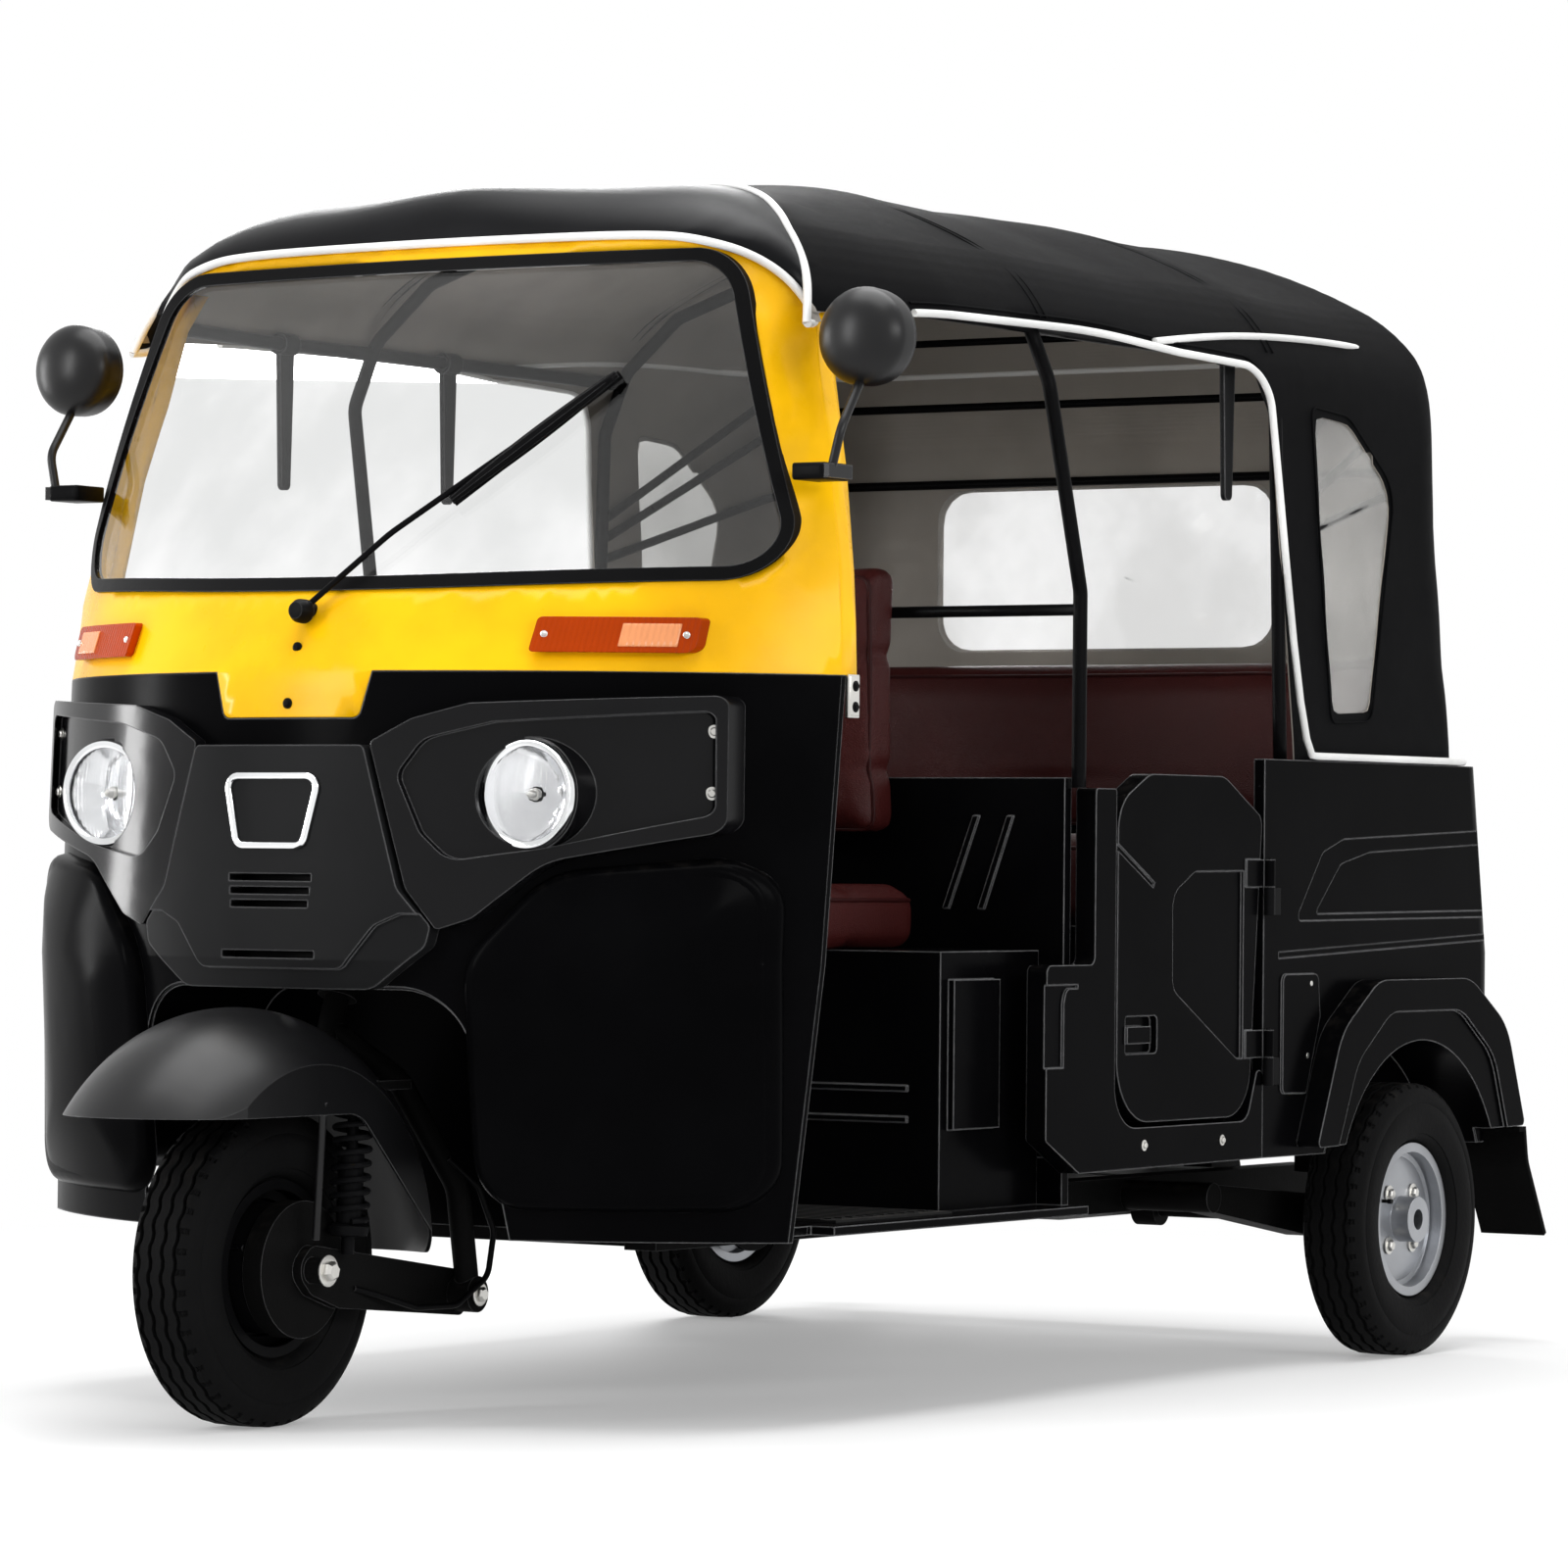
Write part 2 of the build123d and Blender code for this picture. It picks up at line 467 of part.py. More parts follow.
def tub_solid(inset, front):
    """Rear body block, its side and rear walls moved in by inset."""
    faces = []
    for z, rear in TAIL_LEVELS:
        half = BODY_HALF - inset
        plan = outline([(front, -half, 0), (front, half, 0), (rear + inset, half, 60 - inset),
                        (rear + inset, -half, 60 - inset)])
        faces.append(Pos(0, 0, z) * plan)
    return loft(faces, ruled=True)


tub = tub_solid(0, HINGE_X) - tub_solid(WALL, HINGE_X + 50)
tub_walls = tub
tub = tub - block(BODY_REAR - 10, -2200, -LID_HALF, LID_HALF, LID_BOTTOM, LID_TOP)
tub = tub - wheel_house_cut - mirrored(wheel_house_cut)
LID_AXIS = (-2294.7, LID_TOP + 2.0)      # X and Z of the lid's hinge pins
lid_zone = block(BODY_REAR - 10, -2200, -LID_HALF + RUN, LID_HALF - RUN, LID_BOTTOM + RUN, LID_TOP - RUN)
lid = tub_walls & lid_zone
for y in (-300, 260):
    lug = block(-2300, -2281, y, y + 40, LID_TOP - 30, LID_TOP - 2)
    lid = lid + lug + rod((LID_AXIS[0], y, LID_AXIS[1]), (LID_AXIS[0], y + 40, LID_AXIS[1]), 8)
    lid = lid - rod((LID_AXIS[0], y - 5, LID_AXIS[1]), (LID_AXIS[0], y + 45, LID_AXIS[1]), 3.5 + FIT)
    fixed_lug = block(-2300, -2276, y + 41, y + 70, LID_TOP + 3, LID_TOP + 34)
    tub = tub + fixed_lug + rod((LID_AXIS[0], y + 41, LID_AXIS[1]), (LID_AXIS[0], y + 70, LID_AXIS[1]), 8)
    tub = tub + rod((LID_AXIS[0], y - 2, LID_AXIS[1]), (LID_AXIS[0], y + 45, LID_AXIS[1]), 3.5)
# pressed side: a long crease, and a hollow that runs out towards the tail
waist = along_y(outline([(-1606, 606, 0), (-1606, 597, 0), (-2400, 624, 0), (-2400, 633, 0)]), BODY_HALF - 4, 700)
hollow = along_y(outline([(-1657, 651, 8), (-1740, 751, 25), (-1807, 771, 25), (-2400, 792, 0), (-2400, 656, 0)]),
                 BODY_HALF - 3, 700)
inner_hollow = along_y(outline([(-1722, 661, 4), (-1802, 734, 30), (-1895, 752, 30), (-2400, 771, 0), (-2400, 666, 0)]),
                       BODY_HALF - 8, 700)
for cut in (waist, hollow, inner_hollow):
    tub = tub - cut - mirrored(cut)
tub = tub - block(BODY_REAR - 10, BODY_REAR + 4, -800, 800, 620, 629)
arch_plate = along_y(outline([(-1614, 574, 12), (-1722, 574, 12), (-1728, 512, 10), (-1686, 400, 6), (-1614, 402, 8)]),
                     BODY_HALF - 1, BODY_HALF + 4)
save("rear_body", tub + arch_plate + mirrored(arch_plate))
save("rear_lid", lid)

FLARE_OUT = 660.0
flare_corners = [(-1660, 322, 8), (-1735, 490, 110), (-1850, 564, 90), (-2150, 564, 110), (-2275, 490, 110),
                 (-2338, 335, 8)]
flare = along_y(outline(flare_corners), BODY_HALF, FLARE_OUT)
round_hole = rod((REAR_AXLE_X, 500, AXLE_Z), (REAR_AXLE_X, 800, AXLE_Z), ARCH_R)
house = rod((REAR_AXLE_X, HOUSE_Y, AXLE_Z), (REAR_AXLE_X, BODY_HALF, AXLE_Z), ARCH_R + SKIN)
house = house - rod((REAR_AXLE_X, HOUSE_Y + SKIN, AXLE_Z), (REAR_AXLE_X, 700, AXLE_Z), ARCH_R)
house = house & block(-2400, -1600, 500, 700, BODY_BOTTOM, 700)
flare_lip = outline([(-1715, 300, 0), (-1785, 445, 100), (-1890, 516, 80), (-2120, 516, 90), (-2232, 445, 100),
                     (-2292, 300, 0)])
flare = flare - along_y(flare_lip, FLARE_OUT - 7, FLARE_OUT + 10)
fender = house + (flare - round_hole)
save("rear_fenders", *both(fender))

FLAP_IN = 552.0
FLAP_END = REAR_AXLE_X - REAR_REACH
flap_side = outline([(BODY_REAR - FIT, 333, 0), (-2341, 333, 0), (-2350, 280, 60), (FLAP_END, 166, 0),
                     (FLAP_END + 8, 162, 0), (-2342, 278, 60), (-2334, 325, 0), (BODY_REAR - FIT, 325, 0)])
flap = along_y(flap_side, FLAP_IN, FLARE_OUT)
save("mudflaps", *both(flap - fender))

tail_lamp = (tub_solid(-16, -2100) - tub_solid(-FIT, -2090)) & block(-2400, -2260, 440, 540, 640, 760)
save("tail_lamps", *both(tail_lamp))

# ================================================================ seats in the back
BENCH_HALF = BODY_HALF - WALL - FIT
bench = block(SEAT_FRONT - WALL, SEAT_FRONT, -BENCH_HALF, BENCH_HALF, REAR_FLOOR_Z + FLOOR_THICK, 640)
bench = bench + block(-2100, SEAT_FRONT - WALL, -BENCH_HALF, BENCH_HALF, 622, 640)
bench = bench + block(-2100, -2100 + WALL, -BENCH_HALF, BENCH_HALF, 640, 1000)
save("bench_base", bench)
save("passenger_cushion", block(-2060, -1580, -598, 598, 640 + FIT, 770))
rest_side = outline([(-2082 + FIT, 775, 10), (-1990, 775, 25), (-2010, 1056, 35), (-2082 + FIT, 1056, 25)])
save("passenger_backrest", along_y(rest_side, -596, 596))

# ================================================================ hood
HOOD_LIP = 8.0
# Rear of the hood in plan: height, X of the rear wall, half width
HOOD_REAR = ((BELT + FIT, -2272.0, 622.0), (1030.0, -2225.0, 618.0), (1250.0, -2196.0, 611.0), (1720.0, -2180.0, 604.0))


def hood_section(inset):
    """Cross-section of the hood in (Y, Z), moved in by inset."""
    side = Polyline((-622 + inset, 700), (622 - inset, 700), (606 - inset, 1390))
    left = ThreePointArc((606 - inset, 1390), (564 - 0.82 * inset, 1505 - 0.57 * inset),
                         (470 - 0.5 * inset, 1583 - 0.88 * inset))
    crown = ThreePointArc((470 - 0.5 * inset, 1583 - 0.88 * inset), (0, ROOF_TOP - inset),
                          (-470 + 0.5 * inset, 1583 - 0.88 * inset))
    right = ThreePointArc((-470 + 0.5 * inset, 1583 - 0.88 * inset), (-564 + 0.82 * inset, 1505 - 0.57 * inset),
                          (-606 + inset, 1390))
    close = Line((-606 + inset, 1390), (-622 + inset, 700))
    return make_face([*side.edges(), left, crown, right, close])


def hood_solid(inset):
    """Whole outer shape of brow and hood, moved in by inset."""
    across = along_x(hood_section(inset), -2400, -386 - inset)
    top = outline([(-386 - inset, 700, 0), (-386 - inset, 1556, 0), (-396 - inset, 1612 - inset, 40),
                   (-1120, 1702 - inset, 2500), (-2182 + inset, 1698 - inset, 170 - inset),
                   (-2182 + inset, 1400, 0), (-2350, 700, 0)])
    faces = []
    for z, rear, half in HOOD_REAR:
        plan = outline([(-300, -half + inset, 0), (-300, half - inset, 0), (rear + inset, half - inset, 110 - inset),
                        (rear + inset, -half + inset, 110 - inset)])
        faces.append(Pos(0, 0, z) * plan)
    return across & along_y(top, -700, 700) & loft(faces, ruled=True)


shell_outer = hood_solid(0)
shell = shell_outer - hood_solid(HOOD_LIP / 2)
side_opening = outline([(-300, 1438, 0), (-1000, 1470, 3000), (-1604, 1457, 95), (-1690, 700, 0), (-300, 700, 0)])
shell = shell - along_y(side_opening, -800, 800)
shell = shell - block(-1500, -300, -800, 800, 700, 1438)
quarter_window = outline([(-1742, 1392, 15), (-1850, 1385, 60), (-1985, 1290, 60), (-1905, 960, 20), (-1788, 955, 15)])
rear_window = outline([(-300, 1070, 50), (300, 1070, 50), (300, 1322, 50), (-300, 1322, 50)])
shell = shell - along_y(quarter_window, -800, 800) - along_x(rear_window, -2400, -2000)
shell = shell - along_x(surround_outline(), -480, 100)
# the brow ends on a slanting line: further back at the crown than at the eaves
brow_zone = along_y(outline([(-300, 1400, 0), (-440, 1400, 0), (-640, 1720, 0), (-300, 1720, 0)]), -800, 800)
brow = shell & brow_zone
canopy = shell - brow_zone
save("roof_brow", brow.solids().sort_by(SortBy.VOLUME)[-1])
save("canopy", canopy.solids().sort_by(SortBy.VOLUME)[-1])

pane_shell = hood_solid(1) - hood_solid(3)
pane_side = along_y(quarter_window, -800, 800)
pane_rear = along_x(rear_window, -2400, -2000)
save("hood_windows", pane_shell & (pane_side + pane_rear))

# bows, rails and grab bar
BOW_R = 10.0
POST_FOOT_Z = 836.0
bow_over = [(591, 1390), (552, 1485), (456, 1567), (230, 1643), (0, 1664)]
bow_over = bow_over + [(-y, z) for y, z in reversed(bow_over[:-1])]


def bow(foot, knee_x, top_x):
    """Hood bow from a foot on one side, over the roof and down to the other side."""
    rise = [foot, (knee_x, foot[1], foot[2] + 270)] if knee_x else [foot]
    over = [(top_x, y, z) for y, z in bow_over]
    down = [(x, -y, z) for x, y, z in reversed(rise)]
    return tube([*rise, *over, *down], BOW_R, 55)


post_bow = bow((-1057, 604, POST_FOOT_Z), -1057, -989)
rear_bow = bow((-1640, 603, BELT + 2 * FIT), 0, -1640)
RAIL_POINT = (560.0, 1468.0)
side_rails = [rod((-470.5, s * RAIL_POINT[0], RAIL_POINT[1]), (-1640, s * RAIL_POINT[0], RAIL_POINT[1]), BOW_R)
              for s in (1, -1)]
# height at the pivot, then X, half width and height where the hoop crosses behind the passengers
HOOPS = ((1195, -2172, 586, 1335), (1225, -2168, 562, 1458), (1255, -2145, 478, 1560))
hoops = [tube([(-1640, 597, pivot), (x, half, z), (x, -half, z), (-1640, -597, pivot)], 7, 95)
         for pivot, x, half, z in HOOPS]
grab = rod((-1057, -604, 1081), (-1057, 604, 1081), 8)
hood_frame = post_bow + rear_bow
for bar in (*side_rails, *hoops, grab):
    hood_frame = hood_frame + bar
save("hood_frame", hood_frame)

STRAPS = ((-780, -1), (-1180, -1), (-1550, 1))
straps = []
for x, side in STRAPS:
    y, z = side * RAIL_POINT[0], RAIL_POINT[1]
    ring = rod((x - 17, y, z), (x + 17, y, z), BOW_R + 6)
    strip = along_y(outline([(x - 17, z, 0), (x + 17, z, 0), (x + 10, z - 210, 9), (x - 10, z - 210, 9)]), y - 4, y + 4)
    straps.append((ring + strip) - rod((x - 30, y, z), (x + 30, y, z), BOW_R + FIT))
save("grab_straps", *straps)

# ================================================================ engine and rear suspension
ENGINE_HALF = 170.0
rail_in = RAIL_Y - RAIL_W / 2
engine = block(-2140, -1760, -ENGINE_HALF, ENGINE_HALF, 195, 560)
for x in (-1800, -2080):
    engine = engine + block(x - 25, x + 25, -rail_in, rail_in, 226, 264)
save("engine", engine)
SILENCER_X, SILENCER_Z = -2205.0, 250.0
silencer = rod((SILENCER_X, -210, SILENCER_Z), (SILENCER_X, 210, SILENCER_Z), 48)
silencer = silencer + rod((SILENCER_X, -rail_in, SILENCER_Z), (SILENCER_X, rail_in, SILENCER_Z), 8)
silencer = silencer + rod((-2140 - FIT, 110, SILENCER_Z), (SILENCER_X, 110, SILENCER_Z), 15)
save("silencer", silencer)

PLATE_Y = HOUSE_Y + 6.0      # outer face of the brake backing plate
ARM_Y = 470.0
rail_out = RAIL_Y + RAIL_W / 2
arm = rod((-1640, rail_out, 245), (-1640, 500, 245), 22)
arm_side = outline([(-1640, 225, 0), (-1640, 265, 0), (-1990, 236, 0), (-2040, 236, 15), (-2040, 175, 15), (-1960, 175, 0)])
arm = arm + along_y(arm_side, ARM_Y - 22, ARM_Y + 22)
arm = arm + rod((REAR_AXLE_X, 440, AXLE_Z), (REAR_AXLE_X, HOUSE_Y - 1, AXLE_Z), 30)
arm = arm + rod((REAR_AXLE_X, HOUSE_Y - 1, AXLE_Z), (REAR_AXLE_X, PLATE_Y, AXLE_Z), 96)
arm = arm - (house + block(-2300, -1700, HOUSE_Y - FIT, HOUSE_Y + SKIN + FIT, BODY_BOTTOM - FIT, 400))
arm = arm + rod((REAR_AXLE_X, PLATE_Y, AXLE_Z), (REAR_AXLE_X, HALF_TRACK + 20, AXLE_Z), REAR_AXLE_R)
save("trailing_arms", *both(arm))
shock = rod((REAR_AXLE_X, ARM_Y + 8, 236 + 2 * FIT), (REAR_AXLE_X, ARM_Y + 8, 622 - FIT), 14)
shock = shock + rod((REAR_AXLE_X, ARM_Y + 8, 270), (REAR_AXLE_X, ARM_Y + 8, 560), 34)
save("rear_shocks", *both(shock))
shaft = rod((REAR_AXLE_X, ENGINE_HALF, AXLE_Z), (REAR_AXLE_X, 440, AXLE_Z), 12)
for y in (ENGINE_HALF, 400):
    shaft = shaft + rod((REAR_AXLE_X, y, AXLE_Z), (REAR_AXLE_X, y + 40, AXLE_Z), 24 if y > 300 else 26)
save("drive_shafts", *both(shaft - block(-2240, -1700, rail_in - 2, rail_out + 2, FLOOR_Z - 32, 300)))


# ================================================================ wheels
def tyre(x, y):
    """Tyre as one closed ring."""
    half = TYRE_WIDTH / 2
    bead = RIM_WIDTH / 2 - 6.5
    wall = [(bead, BEAD_R), (bead, RIM_R + 1.5), (half - 9, RIM_R + 8)]
    shoulder = [(half - 3, TYRE_R - 16), (half - 20, TYRE_R)]
    left = [(-u, v) for u, v in wall], [(-u, v) for u, v in shoulder]
    edges = [Polyline(*wall), ThreePointArc(wall[-1], (half, 156), shoulder[0]), Line(*shoulder),
             Line(shoulder[-1], left[1][-1]), Line(*left[1]), ThreePointArc(left[1][0], (-half, 156), left[0][-1]),
             Polyline(*left[0]), Line(left[0][0], wall[0])]
    return Pos(0, y, 0) * spun(make_face([e for part in edges for e in part.edges()]), x, AXLE_Z)


def rim(x, y, bore, drum_side, dish_depth):
    """Pressed wheel with its hub and brake drum; drum_side is +1 or -1 along Y."""
    half = RIM_WIDTH / 2
    bed = BEAD_R - FIT
    barrel = outline([(-half, RIM_R, 0), (-half + 4, RIM_R, 0), (-half + 6, bed, 0), (-12, bed, 0), (-8, bed - 12, 0),
                      (8, bed - 12, 0), (12, bed, 0), (half - 6, bed, 0), (half - 4, RIM_R, 0), (half, RIM_R, 0),
                      (half, bed - 5, 0), (14, bed - 5, 0), (10, bed - 17, 0), (-10, bed - 17, 0), (-14, bed - 5, 0),
                      (-half, bed - 5, 0)])
    wheel = spun(barrel, x, AXLE_Z)
    dish = outline([(-dish_depth, bed - 14, 0), (-dish_depth - 4, HUB_R - 4, 0), (-dish_depth + 4, HUB_R - 4, 0),
                    (-dish_depth + 5, bed - 14, 0)])
    wheel = wheel + spun(dish, x, AXLE_Z)
    reach = half + 12
    hub = rod((x, -reach, AXLE_Z), (x, reach, AXLE_Z), HUB_R)
    drum = rod((x, -8, AXLE_Z), (x, reach, AXLE_Z), 84) - rod((x, 4, AXLE_Z), (x, reach + 1, AXLE_Z), 76)
    wheel = (wheel + drum + hub) - rod((x, -reach - 5, AXLE_Z), (x, reach + 5, AXLE_Z), bore)
    if drum_side < 0:
        wheel = mirrored(wheel)
    return Pos(0, y, 0) * wheel


save("front_tyre", tyre(0, 0))
save("front_rim", rim(0, 0, FRONT_AXLE_R + HUB_PLAY, 1, 10))
for name, y, side in (("left", HALF_TRACK, -1), ("right", -HALF_TRACK, 1)):
    save(f"rear_tyre_{name}", tyre(REAR_AXLE_X, y))
    save(f"rear_rim_{name}", rim(REAR_AXLE_X, y, REAR_AXLE_R + HUB_PLAY, side, 14))

# ================================================================ steering
STEM_BOTTOM_Z = 432.0
STEM_TOP_Z = 985.0
stem = rod((steer_x(STEM_BOTTOM_Z), 0, STEM_BOTTOM_Z), (steer_x(STEM_TOP_Z), 0, STEM_TOP_Z), STEM_R)
yoke = block(-165, -50, -25, 126, STEM_BOTTOM_Z, STEM_BOTTOM_Z + 12)
leg = tube([(steer_x(508), 0, 508), (-225, 62, 440), (-292, 110, 300), (-318, 110, 158)], 16, 70)
leg_eye = rod((LINK_PIVOT[0], LINK_Y + 4.3, LINK_PIVOT[1]), (LINK_PIVOT[0], 126, LINK_PIVOT[1]), 24)
fork = stem + yoke + leg + leg_eye
fork = fork - rod((LINK_PIVOT[0], 40, LINK_PIVOT[1]), (LINK_PIVOT[0], 140, LINK_PIVOT[1]), 10 + FIT)
save("steering_fork", fork)

link_side = outline([(-346, 150, 16), (-318, 190, 20), (0, 236, 24), (32, 204, 24), (0, 172, 24), (-60, 152, 30),
                     (-330, 128, 16)])
link = along_y(link_side, LINK_Y - 10, LINK_Y + 4)
link = link + rod((0, 48 + FIT, AXLE_Z), (0, LINK_Y - 10, AXLE_Z), 88)
link = link + rod((LINK_PIVOT[0], LINK_Y, LINK_PIVOT[1]), (LINK_PIVOT[0], 129, LINK_PIVOT[1]), 10)
link = link + rod((0, -62, AXLE_Z), (0, 126, AXLE_Z), FRONT_AXLE_R)
link = link + rod((0, LINK_Y + 4, AXLE_Z), (0, 118, AXLE_Z), 17)
save("front_link", link)

guard_arc = ThreePointArc((GUARD_HALF, 246), (0, GUARD_R), (-GUARD_HALF, 246))
guard_outer = make_face([guard_arc, Line((-GUARD_HALF, 246), (-GUARD_HALF, 150)),
                         Line((-GUARD_HALF, 150), (GUARD_HALF, 150)), Line((GUARD_HALF, 150), (GUARD_HALF, 246))])
guard_in_arc = ThreePointArc((GUARD_HALF - SKIN, 244), (0, GUARD_R - SKIN), (-GUARD_HALF + SKIN, 244))
guard_inner = make_face([guard_in_arc, Line((-GUARD_HALF + SKIN, 244), (-GUARD_HALF + SKIN, 140)),
                         Line((-GUARD_HALF + SKIN, 140), (GUARD_HALF - SKIN, 140)),
                         Line((GUARD_HALF - SKIN, 140), (GUARD_HALF - SKIN, 244))])
guard = spun(guard_outer, *GUARD_CENTRE) - spun(guard_inner, *GUARD_CENTRE)
guard_side = outline([(330, 404, 0), (330, 700, 0), (-330, 700, 0), (-330, 212, 0), (-228, 216, 20), (-40, 404, 60)])
guard_tip = ThreePointArc((180, -GUARD_HALF - 2), (FRONT_REACH, 0), (180, GUARD_HALF + 2))
guard_rest = Polyline((180, GUARD_HALF + 2), (-400, GUARD_HALF + 2), (-400, -GUARD_HALF - 2), (180, -GUARD_HALF - 2))
nose_plan = make_face([guard_tip, *guard_rest.edges()])
guard = guard & along_y(guard_side, -200, 200) & along_z(nose_plan, 100, 700)
guard = guard - rod((steer_x(380), 0, 380), (steer_x(600), 0, 600), STEM_R + FIT)
guard = guard - yoke - leg
stay = rod((34, GUARD_HALF - SKIN, 420), (8, LINK_Y + 16, 244), 5)
save("front_mudguard", (guard.solids().sort_by(SortBy.VOLUME)[-1] + stay) - link)

shock_f = rod((-60, 104, 230), (-72, 104, STEM_BOTTOM_Z - 2 * FIT), 7)
shock_f = shock_f + rod((-61, 104, 255), (-71, 104, 415), 22)
save("front_shock", shock_f - link)

GRIP = 108.0
handle_points = [(-455, 330, 1010), (-378, 205, 1010), (-350, 100, 992), (-350, -100, 992), (-378, -205, 1010),
                 (-455, -330, 1010)]
bar = tube(handle_points, 11, 45)
clamp = rod((steer_x(STEM_TOP_Z - 45), 0, STEM_TOP_Z - 45), (steer_x(STEM_TOP_Z + 12), 0, STEM_TOP_Z + 12), 27)
pod = along_y(outline([(-415, 978, 15), (-300, 978, 25), (-320, 1062, 20), (-400, 1075, 12)]), -78, 78)
handlebar = bar + clamp + pod
for end, inner in ((handle_points[0], handle_points[1]), (handle_points[-1], handle_points[-2])):
    grip_out = (Vector(end) - Vector(inner)).normalized()
    handlebar = handlebar + rod(Vector(end) - grip_out * GRIP, Vector(end) + grip_out * 3, 17)
handlebar = handlebar - rod((steer_x(880), 0, 880), (steer_x(STEM_TOP_Z), 0, STEM_TOP_Z), STEM_R)
save("handlebar", handlebar)

hose = tube([(-268, 112, 338), (-306, 134, 300), (-336, 138, 240), (-326, 136, 182), (-270, 126, 146),
             (-200, 112, 146), (-130, 100, 166), (-90, LINK_Y + 4, 176)], 4, 28)
save("brake_hose", hose - link - fork)
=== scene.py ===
"""Looks of an auto rickshaw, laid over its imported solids.

Lengths measured on the vehicle are in millimetres from the front axle's plane, and at() turns them into the
row frame in metres. Each sub-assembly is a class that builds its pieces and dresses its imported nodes.
"""
from __future__ import annotations

import logging
import math
from dataclasses import dataclass
from enum import Enum
from typing import Callable, Iterable, Sequence

import bmesh
import bpy
import numpy as np
from mathutils import Matrix, Vector

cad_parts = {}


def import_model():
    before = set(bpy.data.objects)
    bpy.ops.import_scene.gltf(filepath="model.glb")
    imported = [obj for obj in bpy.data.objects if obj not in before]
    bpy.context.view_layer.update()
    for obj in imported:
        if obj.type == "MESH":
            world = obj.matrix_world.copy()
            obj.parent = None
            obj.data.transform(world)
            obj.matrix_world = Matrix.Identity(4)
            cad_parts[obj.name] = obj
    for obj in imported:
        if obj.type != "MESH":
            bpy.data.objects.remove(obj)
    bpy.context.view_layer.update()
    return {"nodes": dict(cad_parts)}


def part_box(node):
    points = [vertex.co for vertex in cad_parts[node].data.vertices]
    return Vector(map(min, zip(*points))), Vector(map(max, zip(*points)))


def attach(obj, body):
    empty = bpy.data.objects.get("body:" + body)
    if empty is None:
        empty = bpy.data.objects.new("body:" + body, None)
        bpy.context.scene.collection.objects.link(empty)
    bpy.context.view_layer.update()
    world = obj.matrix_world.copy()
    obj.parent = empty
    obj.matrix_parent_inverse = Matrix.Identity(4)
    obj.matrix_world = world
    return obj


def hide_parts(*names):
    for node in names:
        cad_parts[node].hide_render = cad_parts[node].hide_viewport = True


LOG = logging.getLogger("rickshaw")

Piece = bpy.types.Object
Tree = bpy.types.NodeTree
Node = bpy.types.Node
Socket = bpy.types.NodeSocket
Form = bmesh.types.BMesh
Point = tuple[float, float, float]
Colour = tuple[float, float, float]
Test = Callable[[Vector, Vector], bool]

WHEELBASE = 2000.0
FRONT_REACH = 311.0
REAR_REACH = 415.0
ORIGIN_SHIFT = (WHEELBASE + REAR_REACH - FRONT_REACH) / 2
TYRE_R = 204.0
HALF_TRACK = 603.0
MM = 0.001
SIDES = ((1, "left"), (-1, "right"))


def at(x: float, y: float, z: float) -> Vector:
    """Row-frame point, in metres, of a point in millimetres from the front axle's plane."""
    return Vector((x + ORIGIN_SHIFT, y, z)) * MM


# ---- finishes
class Grain(Enum):
    """How a surface is broken up close to."""

    PAINT = "orange peel of sprayed paint"
    MOULDED = "fine pits of moulded plastic"
    COATED_CLOTH = "weave under a vinyl coat"
    LEATHERETTE = "pebbled grain of seat vinyl"
    RUBBER = "moulded rubber"
    CAST = "cast or forged metal"
    STEEL = "rolled or turned steel"
    CLEAR = "glass and clear plastic"
    FLUTED = "ribbed lamp lens"


